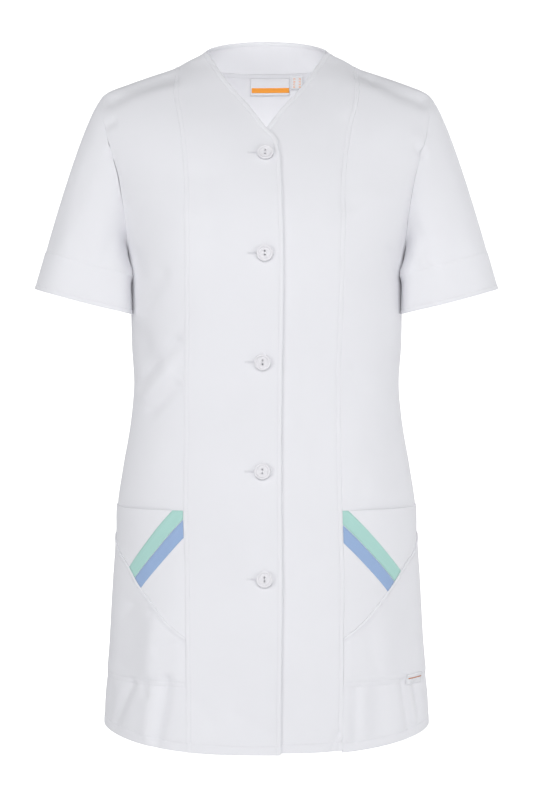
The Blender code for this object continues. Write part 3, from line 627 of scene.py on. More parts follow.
def respaced(lines, surface_at, start, end, step):
    """Lines of places spaced again: at these distances from the edge at each end, evenly between."""
    points = surface_at(lines)
    lengths = lengths_along(points)
    start_slants, end_slants = slants(points, 0), slants(points, -1)
    start, end = np.array(start), np.array(end)
    count = max(2, math.ceil((lengths[:, -1].max() - start[-1] - end[-1]) / step))
    spaced = []
    for line, length, near, far in zip(lines, lengths, start_slants, end_slants):
        first, last = start / near, end / far
        fit = min(1.0, 0.9 * length[-1] / (first[-1] + last[-1]))
        first, last = first * fit, length[-1] - last[::-1] * fit
        at = np.concatenate((first, np.linspace(first[-1], last[0], count + 1)[1:-1], last))
        spaced.append(np.stack([np.interp(at, length, column) for column in line.T], axis=1))
    return np.array(spaced)


def fill(inner, outer, foot, top):
    """Places between four edges, each edge a row of places."""
    v = np.linspace(0, 1, len(inner))[:, None, None]
    u = np.linspace(0, 1, len(foot))[None, :, None]
    ruled = (1 - u) * inner[:, None] + u * outer[:, None] + (1 - v) * foot[None] + v * top[None]
    corners = (1 - v) * ((1 - u) * foot[0] + u * foot[-1]) + v * ((1 - u) * top[0] + u * top[-1])
    return ruled - corners


def turned(x_from, x_to):
    """Values from one x to another, closer together towards the second, as round a side."""
    return x_from + (x_to - x_from) * np.sin(np.linspace(0, math.pi / 2, DENSE))


def to_side_seam(places, side, face):
    """Grid places with their last columns put exactly along the side seam, below the armhole."""
    low = places[:, -1, 1] <= ARMHOLE_FOOT
    for column, mark in enumerate(SEAM_MARKS, start=1):
        width, depth, square = section(places[low, -column, 1], face)
        places[low, -column, 0] = side * width * (1 - (mark / depth) ** square) ** (1 / square)
    return places


def hem_line(x_from, x_to):
    x = turned(x_from, x_to)
    return np.stack((x, hem_height(x)), axis=1)


def level_line(x_from, x_to, z):
    return np.stack((turned(x_from, x_to), np.full(DENSE, z)), axis=1)


def upward(heights, x_of):
    """A curve of places given by x as a function of height."""
    return np.stack((x_of(heights), heights), axis=1)


def panel(inner, outer, top, face, across, up, step=STEP):
    """A panel's grid of places from the hem up, close together beside its edges.

    Inner and outer each give x at a height, and the places of that edge above the armhole's foot.
    """
    (inner_x, inner_high), (outer_x, outer_high) = inner, outer
    over = lambda places: on_form(places, face)
    levels = [level_line(inner_x(z), outer_x(z), z) for z in (POCKET_FOOT, ARMHOLE_FOOT)]
    lines = [hem_line(inner_x(HEM), outer_x(HEM)), *levels, top]
    rows = []
    for leg, (foot, head) in enumerate(zip(lines, lines[1:])):
        edges = []
        for column, x_at, high in ((0, inner_x, inner_high), (-1, outer_x, outer_high)):
            heights = np.linspace(foot[column, 1], head[column, 1], DENSE)
            side = high if leg == 2 else upward(heights, x_at)
            edges.append(evenly(side, over, DENSE // 2))
        dense = fill(*edges, evenly(foot, over, DENSE), evenly(head, over, DENSE))
        rows.append(dense[1 if leg else 0:])
    grid = respaced(np.concatenate(rows), over, *across, step)
    return respaced(grid.transpose(1, 0, 2), over, *up, step).transpose(1, 0, 2)


def distances(points):
    """Distance of each grid point from the edges: inner, outer, foot and top."""
    across = lengths_along(points)
    up = lengths_along(points.transpose(1, 0, 2)).T
    turned_grid = points.transpose(1, 0, 2)
    return {
        "inner": across * slants(points, 0)[:, None],
        "outer": (across[:, -1:] - across) * slants(points, -1)[:, None],
        "foot": up * slants(turned_grid, 0),
        "top": (up[-1:] - up) * slants(turned_grid, -1),
        "uv": np.stack((across - across[:, :1], up), axis=-1),
    }


def groove(distance, at):
    """A line drawn into the cloth by its stitches."""
    depth, spread = STITCH_GROOVE
    return -depth * np.exp(-(((distance - at) / spread) ** 2))


def rolled(distance, fold=FOLD):
    """A folded edge, which turns down over its last stretch."""
    radius, drop = fold
    t = np.clip(1 - distance / radius, 0, 1)
    return -drop * (1 - np.sqrt(1 - t * t))


def raised(distance, to, rise):
    """Cloth that lies higher between its edge and a stitched line."""
    return rise * (1 - ease(distance, to + RISE_ENDS[0], to + RISE_ENDS[1]))


def stitched_edge(distance):
    turned_in = raised(distance, STITCH_AT, STITCHED_RISE)
    return turned_in + groove(distance, STITCH_AT) + rolled(distance, FIRM_FOLD)


def hemmed(distance):
    turned_up = raised(distance, HEM_STITCH_AT, HEM_STITCHED_RISE)
    return turned_up + groove(distance, HEM_STITCH_AT) + rolled(distance, HEM_FOLD)


def allowance(distance, width=SEAM_ALLOWANCE):
    """The turned-in cloth of a seam or hem on the inside."""
    return -ALLOWANCE_RISE * (1 - ease(distance, width - ALLOWANCE_SLOPE, width))


def sheet(name, points, normals, outer, inner, uv, ring=False):
    """A closed sheet over a grid of points, between two distances along their normals."""
    rows, columns = points.shape[:2]
    outer = np.broadcast_to(outer, (rows, columns))[..., None]
    inner = np.broadcast_to(inner, (rows, columns))[..., None]
    skins = np.concatenate([(points + normals * level_out).reshape(-1, 3) for level_out in (outer, inner)])
    index = np.arange(rows * columns).reshape(rows, columns)
    right = np.roll(index, -1, axis=1) if ring else index[:, 1:]
    left = index if ring else index[:, :-1]
    low = np.stack((left[:-1], right[:-1], right[1:], left[1:]), axis=-1).reshape(-1, 4)
    inside = rows * columns
    parts = [low, low[:, ::-1] + inside]
    for row, flip in ((0, False), (rows - 1, True)):
        a, b = left[row], right[row]
        cap = np.stack((b, a, a + inside, b + inside), axis=-1)
        parts.append(cap[:, ::-1] if flip else cap)
    if not ring:
        for column, flip in ((columns - 1, False), (0, True)):
            a, b = index[:-1, column], index[1:, column]
            cap = np.stack((b, a, a + inside, b + inside), axis=-1)
            parts.append(cap[:, ::-1] if flip else cap)
    faces = np.concatenate(parts)
    a, b, c = (skins[low[len(low) // 2, k]] for k in (0, 1, 2))
    if np.dot(np.cross(b - a, c - a), normals.reshape(-1, 3)[low[len(low) // 2, 0]]) < 0:
        faces = faces[:, ::-1]
    flat_uv = np.concatenate((uv.reshape(-1, 2), uv.reshape(-1, 2)))
    return mesh_piece(name, skins, faces, flat_uv)


def mesh_piece(name, points, faces, uv=None):
    """An object from points and four-cornered faces, shaded smooth."""
    mesh = bpy.data.meshes.new(name)
    mesh.vertices.add(len(points))
    mesh.vertices.foreach_set("co", np.asarray(points, np.float32).ravel())
    corners = faces.shape[1]
    mesh.loops.add(faces.size)
    mesh.loops.foreach_set("vertex_index", faces.astype(np.int32).ravel())
    mesh.polygons.add(len(faces))
    mesh.polygons.foreach_set("loop_start", np.arange(0, faces.size, corners, dtype=np.int32))
    mesh.update(calc_edges=True)
    mesh.validate()
    if uv is not None:
        layer = mesh.uv_layers.new(name="cloth")
        layer.data.foreach_set("uv", uv[faces.ravel()].astype(np.float32).ravel())
    mesh.shade_smooth()
    piece = bpy.data.objects.new(name, mesh)
    bpy.context.scene.collection.objects.link(piece)
    return piece


def dress(piece, kind, suffix, material):
    """A sheet in place of its solid."""
    piece.data.materials.append(material)
    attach(piece, "root")
    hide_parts(kind + suffix)


def tree_of(name):
    """A new material and its shader and node tree."""
    material = bpy.data.materials.new(name)
    material.use_nodes = True
    tree = material.node_tree
    return material, tree.nodes["Principled BSDF"], tree


def mapped_noise(tree, scale, detail=2.0):
    """Noise on the piece's own place."""
    space = tree.nodes.new("ShaderNodeTexCoord")
    noise = tree.nodes.new("ShaderNodeTexNoise")
    noise.inputs["Scale"].default_value = scale
    noise.inputs["Detail"].default_value = detail
    tree.links.new(space.outputs["Object"], noise.inputs["Vector"])
    return noise.outputs["Fac"]


def arithmetic(tree, operation, first, second):
    """A math node of one output and another output or a number."""
    node = tree.nodes.new("ShaderNodeMath")
    node.operation = operation
    tree.links.new(first, node.inputs[0])
    if isinstance(second, float):
        node.inputs[1].default_value = second
    else:
        tree.links.new(second, node.inputs[1])
    return node.outputs[0]


def bumped(tree, shader, height, strength, distance):
    bump = tree.nodes.new("ShaderNodeBump")
    bump.inputs["Strength"].default_value = strength
    bump.inputs["Distance"].default_value = distance
    tree.links.new(height, bump.inputs["Height"])
    tree.links.new(bump.outputs["Normal"], shader.inputs["Normal"])


def toned(tree, shader, factor, colour, share):
    """A colour that varies slightly either way."""
    tone = tree.nodes.new("ShaderNodeMix")
    tone.data_type = "RGBA"
    tone.inputs[6].default_value = (*(c * (1 - share) for c in colour), 1.0)
    tone.inputs[7].default_value = (*(min(1.0, c * (1 + share)) for c in colour), 1.0)
    tree.links.new(factor, tone.inputs[0])
    tree.links.new(tone.outputs[2], shader.inputs["Base Color"])


def woven_cloth(name, colour, roughness):
    """Fine diagonal twill over its own threads, with slight unevenness of colour."""
    material, shader, tree = tree_of(name)
    place = tree.nodes.new("ShaderNodeUVMap")
    place.uv_map = "cloth"
    height = mapped_noise(tree, SLUB_SCALE)
    for turn, width, share in TWILL:
        spin = tree.nodes.new("ShaderNodeMapping")
        spin.inputs["Rotation"].default_value = (0.0, 0.0, math.radians(turn))
        tree.links.new(place.outputs["UV"], spin.inputs["Vector"])
        band = tree.nodes.new("ShaderNodeTexWave")
        band.wave_type = "BANDS"
        band.bands_direction = "X"
        band.inputs["Scale"].default_value = BAND_SCALE / (THREAD * width)
        band.inputs["Distortion"].default_value = 0.6
        band.inputs["Detail"].default_value = 1.0
        band.inputs["Detail Scale"].default_value = 0.5
        tree.links.new(spin.outputs["Vector"], band.inputs["Vector"])
        height = arithmetic(tree, "ADD", arithmetic(tree, "MULTIPLY", band.outputs["Fac"], share), height)
    bumped(tree, shader, height, 0.5, TWILL_DEPTH)
    toned(tree, shader, mapped_noise(tree, TONE_SCALE, 3.0), colour, TONE_SHARE)
    shader.inputs["Roughness"].default_value = roughness
    shader.inputs["Sheen Weight"].default_value = 0.25
    shader.inputs["Sheen Roughness"].default_value = 0.5
    shader.inputs["Specular IOR Level"].default_value = 0.25
    return material


def make_front(side):
    """A front's points, normals, two skins and distances from its edges."""
    edge_x = lambda z: front_edge(z, side)
    seam_x = lambda z: front_seam(z, side)
    edge = edge_x, upward(np.linspace(ARMHOLE_FOOT, ridge(NECK_POINT), DENSE), edge_x)
    seam_top = ridge(front_seam(RIDGE_TOP, side))
    seam = seam_x, upward(np.linspace(ARMHOLE_FOOT, seam_top, DENSE), seam_x)
    x = np.linspace(edge[1][-1, 0], seam[1][-1, 0], DENSE)
    top = np.stack((x, ridge(x)), axis=1)
    places = panel(edge, seam, top, FRONT, (STITCHED_MARKS, STITCHED_MARKS), (HEM_MARKS, SEAM_MARKS))
    lift = 0
    if side == LEFT:
        fade = 1 - ease(places[..., 1], HEM, HEM + UNDERLAP_FADES)
        places[..., 1] += UNDERLAP_SHORTER * fade
        offset = places[..., 0] - centre_line(places[..., 1])
        lapped = 1 - ease(offset, *LAP_RAMP)
        lapped = lapped * (1 - ease(places[..., 1], *LAP_RAMP_TOP))
        lift = -(WALL + GAP) * lapped
    flat = on_form(places, FRONT)
    points, normals = worn(flat, FRONT)
    away = distances(flat)
    if side == RIGHT:
        lift = LAP_STAND * ease(away["inner"], LAP_STANDS_OVER, 0)
    relief = stitched_edge(away["inner"]) + stitched_edge(away["outer"]) + hemmed(away["foot"])
    relief += rolled(away["top"])
    inner = -WALL + allowance(away["outer"]) + allowance(away["foot"], HEM_ALLOWANCE)
    inner -= rolled(away["inner"], FIRM_FOLD)
    return points, normals, lift + relief, lift + inner, away


def build_fronts(white, threads):
    for suffix, side in SIDES:
        points, normals, outer, inner, away = make_front(side)
        piece = sheet("front" + suffix + "_cloth", points, normals, outer, inner, away["uv"])
        dress(piece, "front", suffix, white)
        skin = points + normals * outer[..., None]
        lines = (np.s_[:, STITCH_LINE], np.s_[:, -1 - STITCH_LINE])
        threads["front" + suffix] = [topstitched(skin[line], normals[line]) for line in lines]
        threads["hem"].append(topstitched(skin[HEM_LINE], normals[HEM_LINE]))


def side_edge(side, face):
    """The side seam and the armhole as an edge of a panel."""
    hole = armhole(np.linspace(math.pi, 0, DENSE), face)
    return (lambda z: side * half_width(z)), hole[:, (0, 2)] * (side, 1)


def build_side_fronts(white, threads):
    for suffix, side in SIDES:
        seam_x = lambda z: front_seam(z, side)
        seam_top = ridge(front_seam(RIDGE_TOP, side))
        seam = seam_x, upward(np.linspace(ARMHOLE_FOOT, seam_top, DENSE), seam_x)
        outer_edge = side_edge(side, FRONT)
        x = np.linspace(seam[1][-1, 0], outer_edge[1][-1, 0], DENSE)
        top = np.stack((x, ridge(x)), axis=1)
        top[-1] = outer_edge[1][-1]
        places = panel(seam, outer_edge, top, FRONT, (SEAM_MARKS, SEAM_MARKS), (HEM_MARKS, SEAM_MARKS))
        places = to_side_seam(places, side, FRONT)
        flat = on_form(places, FRONT)
        points, normals = worn(flat, FRONT)
        away = distances(flat)
        relief = rolled(away["inner"]) + rolled(away["outer"])
        relief += hemmed(away["foot"]) + rolled(away["top"])
        inner = -WALL + allowance(np.minimum(away["inner"], away["outer"]))
        inner += allowance(away["foot"], HEM_ALLOWANCE)
        piece = sheet("side_front" + suffix + "_cloth", points, normals, relief, inner, away["uv"])
        dress(piece, "side_front", suffix, white)
        skin = points + normals * relief[..., None]
        threads["hem"].append(topstitched(skin[HEM_LINE], normals[HEM_LINE]))


def band_foot(phi):
    """The neck seam at an angle round the back of the neck, 0 at the wearer's left."""
    z = BAND_FOOT["side"] - BAND_FOOT["back_drop"] * np.sin(phi)
    return on_form(np.stack((half_width(z) * np.cos(phi), z), axis=-1), BACK)


def build_back(white, threads):
    neck = band_foot(np.linspace(math.pi / 2, 0, DENSE))[:, (0, 2)]
    outer_edge = side_edge(LEFT, BACK)
    x = np.linspace(COLLAR_BASE, outer_edge[1][-1, 0], DENSE)[1:]
    shoulder = np.stack((x, ridge(x)), axis=1)
    shoulder[-1] = outer_edge[1][-1]
    top = np.concatenate((neck, shoulder))
    centre = np.zeros_like, upward(np.linspace(ARMHOLE_FOOT, neck[0, 1], DENSE), np.zeros_like)
    across, up = (PLAIN_MARKS, SEAM_MARKS), (HEM_MARKS, STITCHED_MARKS)
    half = panel(centre, outer_edge, top, BACK, across, up, BACK_STEP)
    half = to_side_seam(half, LEFT, BACK)
    half_away = distances(on_form(half, BACK))
    places = np.concatenate((half[:, :0:-1] * (-1, 1), half), axis=1)
    mirrored = lambda field: np.concatenate((field[:, :0:-1], field), axis=1)
    away = {key: mirrored(half_away[key]) for key in ("outer", "foot", "top")}
    uv = half_away["uv"]
    uv = np.concatenate((uv[:, :0:-1] * (-1, 1), uv), axis=1)
    points, normals = worn(on_form(places, BACK), BACK)
    relief = rolled(away["outer"]) + hemmed(away["foot"]) + rolled(away["top"])
    inner = -WALL + allowance(away["outer"]) + allowance(away["foot"], HEM_ALLOWANCE)
    inner -= groove(away["top"], STITCH_AT)
    piece = sheet("back_cloth", points, normals, relief, inner, uv)
    dress(piece, "back", "", white)
    skin = points + normals * relief[..., None]
    threads["hem"].append(topstitched(skin[HEM_LINE], normals[HEM_LINE]))
    under = points + normals * inner[..., None]
    neck = np.abs(points[-1, :, 0]) < COLLAR_BASE
    line = under[-1 - STITCH_LINE, neck], -normals[-1 - STITCH_LINE, neck]
    threads["neck"] = [topstitched(*line)]


def surface(point_at, u, v):
    """Points of a surface and its unit normals, from small steps in both of its parameters."""
    step = 0.0005
    u, v = np.broadcast_arrays(u, v)
    along_u = point_at(u + step, v) - point_at(u - step, v)
    along_v = point_at(u, v + step) - point_at(u, v - step)
    normals = np.cross(along_u, along_v)
    return point_at(u, v), normals / np.linalg.norm(normals, axis=-1, keepdims=True)


def band_point(phi, t):
    """The neckband at an angle round the neck and a share of its height."""
    foot = band_foot(phi)
    rise = BAND_TOP["side"] + BAND_TOP["back_rise"] * np.clip(np.sin(phi), 0, 1)
    top = np.stack((BAND_TOP["half_width"] * np.cos(phi), BAND_TOP["depth"] * np.sin(phi), rise), axis=-1)
    return foot + (top - foot) * t[..., None]


def build_neckband(white, threads):
    phi = np.linspace(0, math.pi, 2 * DENSE)
    over = lambda places: band_point(places[..., 0], places[..., 1])
    rows = np.stack(np.meshgrid(phi, np.linspace(0, 1, BAND_ROWS), indexing="xy"), axis=-1)
    grid = respaced(rows, over, SEAM_MARKS, SEAM_MARKS, STEP)
    grid = respaced(grid.transpose(1, 0, 2), over, SEAM_MARKS, STITCHED_MARKS, BAND_STEP).transpose(1, 0, 2)
    points, normals = surface(band_point, grid[..., 0], grid[..., 1])
    normals *= np.sign((normals[..., :2] * points[..., :2]).sum(axis=-1))[..., None]
    points[..., 1] = np.maximum(points[..., 1], 0)
    away = distances(points)
    relief = stitched_edge(away["top"]) + rolled(away["foot"], SEAM_FOLD)
    inner = -WALL - stitched_edge(away["top"])
    piece = sheet("neckband_cloth", points, normals, relief, inner, away["uv"])
    dress(piece, "neckband", "", white)
    line = np.s_[-1 - STITCH_LINE]
    for level_out, facing in ((relief, 1), (inner, -1)):
        skin = points + normals * level_out[..., None]
        threads["neck"].append(topstitched(skin[line], normals[line] * facing))


def ring_point(ring, theta):
    """A point of a sleeve's ring: 0 at its outer end, then forward."""
    tilt = math.radians(ring["tilt"])
    across, forward = np.cos(theta), np.sin(theta)
    inner = np.clip(-across, 0, 1)
    square = SLEEVE_SQUARE[0] + (SLEEVE_SQUARE[1] - SLEEVE_SQUARE[0]) * ease(inner, 0, SQUAREST_FROM)
    reach = (np.abs(across) ** square + np.abs(forward) ** square) ** (-1 / square)
    across, forward = across * reach, forward * reach
    x = ring["x"] + ring["radius"] * math.cos(tilt) * across
    x = x - inner**2 * (ring["reach"] + ring["fold"] * np.clip(forward, 0, 1))
    z = ring["z"] + ring["radius"] * math.sin(tilt) * across - ring["lean"] * forward
    return np.stack((x, -ring["depth"] * forward, z), axis=-1)


def armhole_start(theta):
    """The sleeve's first points on the torso form, the normals there, and how far creases move them."""
    theta = np.mod(theta, 2 * math.pi)
    in_front = theta <= math.pi
    down = np.where(in_front, theta, 2 * math.pi - theta)
    on_face = []
    for face in (FRONT, BACK):
        flat = armhole(down, face)
        points, normals = worn(flat, face)
        on_face.append((flat, normals, points - flat))
    return [np.where(in_front[..., None], front, back) for front, back in zip(*on_face)]


def sleeve_point(theta, t):
    """The sleeve at an angle round it, and a share of the way from armhole to cuff."""
    start, normal, sunk = armhole_start(theta)
    end = ring_point(SLEEVE_END, theta)
    down = ring_point(CUFF_END, theta) - end
    down /= np.linalg.norm(down, axis=-1, keepdims=True)
    near_top = (((1 + np.cos(theta)) / 2) ** 2)[..., None]
    near_foot = (((1 - np.cos(theta)) / 2) ** 2)[..., None]
    small = 0.001
    tangent = armhole_start(theta + small)[0] - armhole_start(theta - small)[0]
    onward = np.cross(normal, tangent)
    onward /= np.linalg.norm(onward, axis=-1, keepdims=True)
    droop = SLEEVE_DROOP[0] + (SLEEVE_DROOP[1] - SLEEVE_DROOP[0]) * near_foot
    leave = near_top * onward + (1 - near_top) * (normal + down * droop)
    leave /= np.linalg.norm(leave, axis=-1, keepdims=True)
    length = np.linalg.norm(end - start, axis=-1, keepdims=True)
    start_pull = length * (SLEEVE_START_PULL + (UNDERARM_PULL - SLEEVE_START_PULL) * (1 - near_top))
    t = t[..., None]
    value_part = (1 + 2 * t) * (1 - t) ** 2 * start + t * t * (3 - 2 * t) * end
    pull_part = t * (1 - t) ** 2 * start_pull * leave - t * t * (1 - t) * SLEEVE_END_PULL * length * down
    return value_part + pull_part + sunk * (1 - ease(t, 0, CREASES_END))


def cuff_point(theta, t):
    """The cuff at an angle round it, and a share of the way from the sleeve's end to its own."""
    start = ring_point(SLEEVE_END, theta)
    return start + (ring_point(CUFF_END, theta) - start) * t[..., None]


def outward(points, normals, ring):
    """Normals turned to point away from a ring's centre line."""
    centre = np.array((ring["x"], 0.0, ring["z"]))
    mean = points.mean(axis=1, keepdims=True) * 0.5 + centre * 0.5
    return normals * np.sign((normals * (points - mean)).sum(axis=-1))[..., None]


def ring_angles(count):
    """Angles evenly spaced round the armhole."""
    theta = np.linspace(0, 2 * math.pi, 4 * DENSE + 1)
    length = lengths_along(armhole_start(theta)[0])
    return np.interp(np.linspace(0, length[-1], count + 1)[:-1], length, theta)


def sleeve_creases(points, side):
    """How far a sleeve sinks at these points."""
    depth = np.zeros(points.shape[:-1])
    for crease_side, spread, deepest, path in SLEEVE_CREASES:
        if crease_side == side:
            angles, shares = np.array(path, float).T
            share = np.linspace(0, 1, HOLE_POINTS)
            at = np.linspace(0, 1, len(path))
            line = sleeve_point(np.radians(np.interp(share, at, angles)), np.interp(share, at, shares))
            away, _ = away_from(line, points)
            depth += deepest * np.exp(-((away / spread) ** 2))
    return depth


def ring_sheet(point_at, start, rows, marks, ring):
    """Points, normals and distances of a sheet that runs round an arm."""
    share = np.linspace(start, 1, rows)
    columns = np.stack(np.meshgrid(ring_angles(RING_COLUMNS), share, indexing="ij"), axis=-1)
    over = lambda places: point_at(places[..., 0], places[..., 1])
    grid = respaced(columns, over, SEAM_MARKS, marks, STEP).transpose(1, 0, 2)
    points, normals = surface(point_at, grid[..., 0], grid[..., 1])
    return points, outward(points, normals, ring), distances(points)


def build_sleeves(white, threads):
    sleeve = ring_sheet(sleeve_point, 0.0, SLEEVE_ROWS, STITCHED_MARKS[:-1], SLEEVE_END)
    cuff = ring_sheet(cuff_point, CUFF_START, CUFF_ROWS, STITCHED_MARKS, CUFF_END)
    line = -1 - STITCH_LINE, np.r_[0:cuff[0].shape[1], 0]
    for suffix, side in SIDES:
        mirror = (side, 1, 1)
        for kind, (points, normals, away), lift in (("sleeve", sleeve, 0.0), ("cuff", cuff, CUFF_STEP)):
            sunk = sleeve_creases(points, side)
            if kind == "sleeve":
                outer = rolled(away["foot"], SEAM_FOLD) - sunk
            else:
                outer = lift + stitched_edge(away["top"]) + rolled(away["foot"]) - sunk
            inner = lift - WALL - sunk
            name = kind + suffix + "_cloth"
            piece = sheet(name, points * mirror, normals * mirror, outer, inner, away["uv"], ring=True)
            dress(piece, kind, suffix, white)
        skin = (points + normals * outer[..., None]) * mirror
        threads["cuffs"].append(topstitched(skin[line], (normals * mirror)[line]))


def seam_to_side(z, side):
    """A level line over a side front, from the long front seam to the side seam."""
    return level_line(front_seam(z, side), side * half_width(z), z)


def pocket_places(side, head_at):
    """Dense places of a pocket layer, up to a height for each share of the way to the side."""
    heights = np.linspace(POCKET_FOOT, POCKET_TOP + POCKET_TOP_RISE, DENSE)
    over = lambda places: on_form(places, FRONT)
    lines = np.array([evenly(seam_to_side(z, side), over, DENSE) for z in heights])
    share = np.linspace(0, 1, DENSE)
    columns = []
    for column in range(DENSE):
        z = np.linspace(POCKET_FOOT, head_at(share[column]), DENSE)
        columns.append(np.stack((np.interp(z, heights, lines[:, column, 0]), z), axis=1))
    return np.array(columns).transpose(1, 0, 2)


def slant_height(share):
    return smooth(SLANT, np.asarray(share))[..., 0]


def gape(places, side):
    """How far a pocket's top stands off the side front."""
    x, z = places[..., 0], places[..., 1]
    seam = front_seam(z, side)
    share = (x - seam) / (side * half_width(z) - seam)
    across = ease(share, 0, GAPE_RISES) * ease(share, 1, 1 - GAPE_RISES)
    return POCKET_GAPE * across * ease(z, POCKET_TOP - GAPE_DEPTH, POCKET_TOP)


def layer_thickness(nearest):
    """Thickness of a pocket layer this far from its pressed edges."""
    return POCKET_PRESSED + (LAYER - POCKET_PRESSED) * ease(nearest, 0, PRESSED_OVER)


def back_layer_head(share):
    return POCKET_TOP + POCKET_TOP_RISE * share**2


def build_pockets(white, threads):
    over = lambda places: on_form(places, FRONT)
    for suffix, side in SIDES:
        threads["pocket" + suffix] = []
        for kind, head_at in (("pocket_back", back_layer_head), ("pocket_front", slant_height)):
            grid = respaced(pocket_places(side, head_at), over, SEAM_MARKS, SEAM_MARKS, STEP)
            grid = respaced(grid.transpose(1, 0, 2), over, STITCHED_MARKS, STITCHED_MARKS, STEP)
            grid = to_side_seam(grid.transpose(1, 0, 2), side, FRONT)
            flat = on_form(grid, FRONT)
            points, normals = worn(flat, FRONT)
            away = distances(flat)
            pressed = [away[edge] for edge in ("inner", "outer", "foot")]
            thickness = layer_thickness(np.minimum.reduce(pressed))
            low = POCKET_STAND + gape(grid, side)
            if kind == "pocket_back":
                relief = low + thickness + rolled(away["top"], POCKET_FOLD)
            else:
                low = low + thickness + POCKET_STAND
                thickness = thickness * FRONT_LAYER_SHARE
                rim = RIM_RISE * ease(away["outer"], 0, RIM_FADES) * (1 - ease(away["top"], *RIM_SLOPE))
                relief = low + thickness + rim + groove(away["foot"], STITCH_AT)
                relief += rolled(away["top"], RIM_FOLD)
            relief += rolled(away["inner"]) + rolled(away["outer"]) + rolled(away["foot"])
            piece = sheet(kind + suffix + "_cloth", points, normals, relief, low, away["uv"])
            dress(piece, kind, suffix, white)
        skin = points + normals * relief[..., None]
        for line in (STITCH_LINE, -1 - RIM_STITCH_LINE):
            threads["pocket" + suffix].append(topstitched(skin[line], normals[line]))


def side_length(z, side):
    return lengths_along(on_form(seam_to_side(z, side), FRONT))[-1]


def along_side(z, side, along):
    """The place at this distance over the cloth from the long front seam."""
    line = seam_to_side(z, side)
    length = lengths_along(on_form(line, FRONT))
    return [np.interp(along, length, column) for column in line.T]


def tape_starts(side, colour):
    """Where a tape's upper edge, middle and lower edge start, each (along the cloth, height)."""
    middle = TAPE_MIDDLE[side]
    if colour == "green":
        top = POCKET_TOP - TAPE_INSET
        past = middle + GREEN_WIDTH * math.sqrt(2) - top
        return (past, top), (TAPE_INSET, top), (TAPE_INSET, middle)
    upper, lower = middle - 2 * GAP, middle - BLUE_WIDTH * math.sqrt(2)
    return (TAPE_INSET, upper), (TAPE_INSET, (upper + lower) / 2), (TAPE_INSET, lower)


def tape_end(side, start):
    """Where a tape's edge, falling at 45 degrees, meets the slanting edge."""
    low, high = 0.0, TAPE_LONGEST
    for _ in range(HALVINGS):
        run = (low + high) / 2
        along, z = start[0] + run, start[1] - run
        above = z > slant_height(along / side_length(z, side))
        low, high = (run, high) if above else (low, run)
    return start[0] + low, start[1] - low


def tape_places(side, colour):
    """Places of a tape, in rows from its upper edge to its lower one."""
    edges = []
    for start in tape_starts(side, colour):
        end = tape_end(side, start)
        run = np.linspace(0, 1, TAPE_COLUMNS)[:, None]
        edge = np.asarray(start) * (1 - run) + np.asarray(end) * run
        edges.append([along_side(z, side, along) for along, z in edge])
    edges = np.array(edges)
    rows = np.linspace(0, 2, TAPE_ROWS)
    low_row = np.clip(rows.astype(int), 0, 1)
    t = (rows - low_row)[:, None, None]
    return edges[low_row] * (1 - t) + edges[low_row + 1] * t


def build_tapes(materials):
    for suffix, side in SIDES:
        for colour, material in materials.items():
            places = tape_places(side, colour)
            flat = on_form(places, FRONT)
            points, normals = worn(flat, FRONT)
            away = distances(flat)
            reach = np.abs(places[..., 0] - front_seam(places[..., 1], side))
            low = POCKET_STAND + gape(places, side) + layer_thickness(reach)
            relief = low + TAPE_THICKNESS + rolled(np.minimum(away["foot"], away["top"]), TAPE_FOLD)
            piece = sheet("tape_" + colour + suffix, points, normals, relief, low, away["uv"])
            dress(piece, "stripe_" + colour, suffix, material)


def set_camera():
    camera = bpy.data.cameras.new("camera")
    camera.lens = LENS_MM
    camera.sensor_width = SENSOR_MM
    camera.sensor_fit = "AUTO"
    holder = bpy.data.objects.new("camera", camera)
    holder.location = EYE
    holder.rotation_euler = (math.pi / 2, 0.0, 0.0)
    bpy.context.scene.collection.objects.link(holder)
    bpy.context.scene.camera = holder


def area_light(name, place, aim, size, power):
    light = bpy.data.lights.new(name, "AREA")
    light.shape = "RECTANGLE"
    light.size, light.size_y = size
    light.energy = power
    holder = bpy.data.objects.new(name, light)
    holder.location = place
    direction = np.array(aim, float) - np.array(place, float)
    yaw = math.atan2(direction[1], direction[0]) - math.pi / 2
    pitch = math.atan2(direction[2], math.hypot(direction[0], direction[1]))
    holder.rotation_euler = (math.pi / 2 + pitch, 0.0, yaw)
    holder.visible_camera = False
    bpy.context.scene.collection.objects.link(holder)


def plain_glow(name, colour, glow):
    material, shader, _ = tree_of(name)
    shader.inputs["Base Color"].default_value = (*colour, 1.0)
    shader.inputs["Roughness"].default_value = 0.9
    shader.inputs["Emission Color"].default_value = (1.0, 1.0, 1.0, 1.0)
    shader.inputs["Emission Strength"].default_value = glow
    return material


def build_studio():
    scene = bpy.context.scene
    scene.view_settings.view_transform = "Standard"
    world = bpy.data.worlds.new("studio")
    world.use_nodes = True
    back = world.node_tree.nodes["Background"]
    back.inputs["Color"].default_value = (*DAYLIGHT, 1.0)
    back.inputs["Strength"].default_value = WORLD_STRENGTH
    scene.world = world
    for name, place, size, turn, colour, glow in STAGE:
        flat_stage(name, place, size, turn).data.materials.append(plain_glow(name + "_paper", colour, glow))
    for name, place, aim, size, power in LIGHTS:
        area_light(name, place, aim, size, power)


def flat_stage(name, place, size, turn):
    """A flat sheet of the studio, which isn't part of the smock."""
    bpy.ops.object.select_all(action="DESELECT")
    bpy.ops.mesh.primitive_plane_add(size=1.0, location=place, rotation=turn)
    stage = bpy.context.object
    stage.name = name
    stage.scale = (*size, 1.0)
    bpy.ops.object.transform_apply(location=True, rotation=True, scale=True)
    return stage


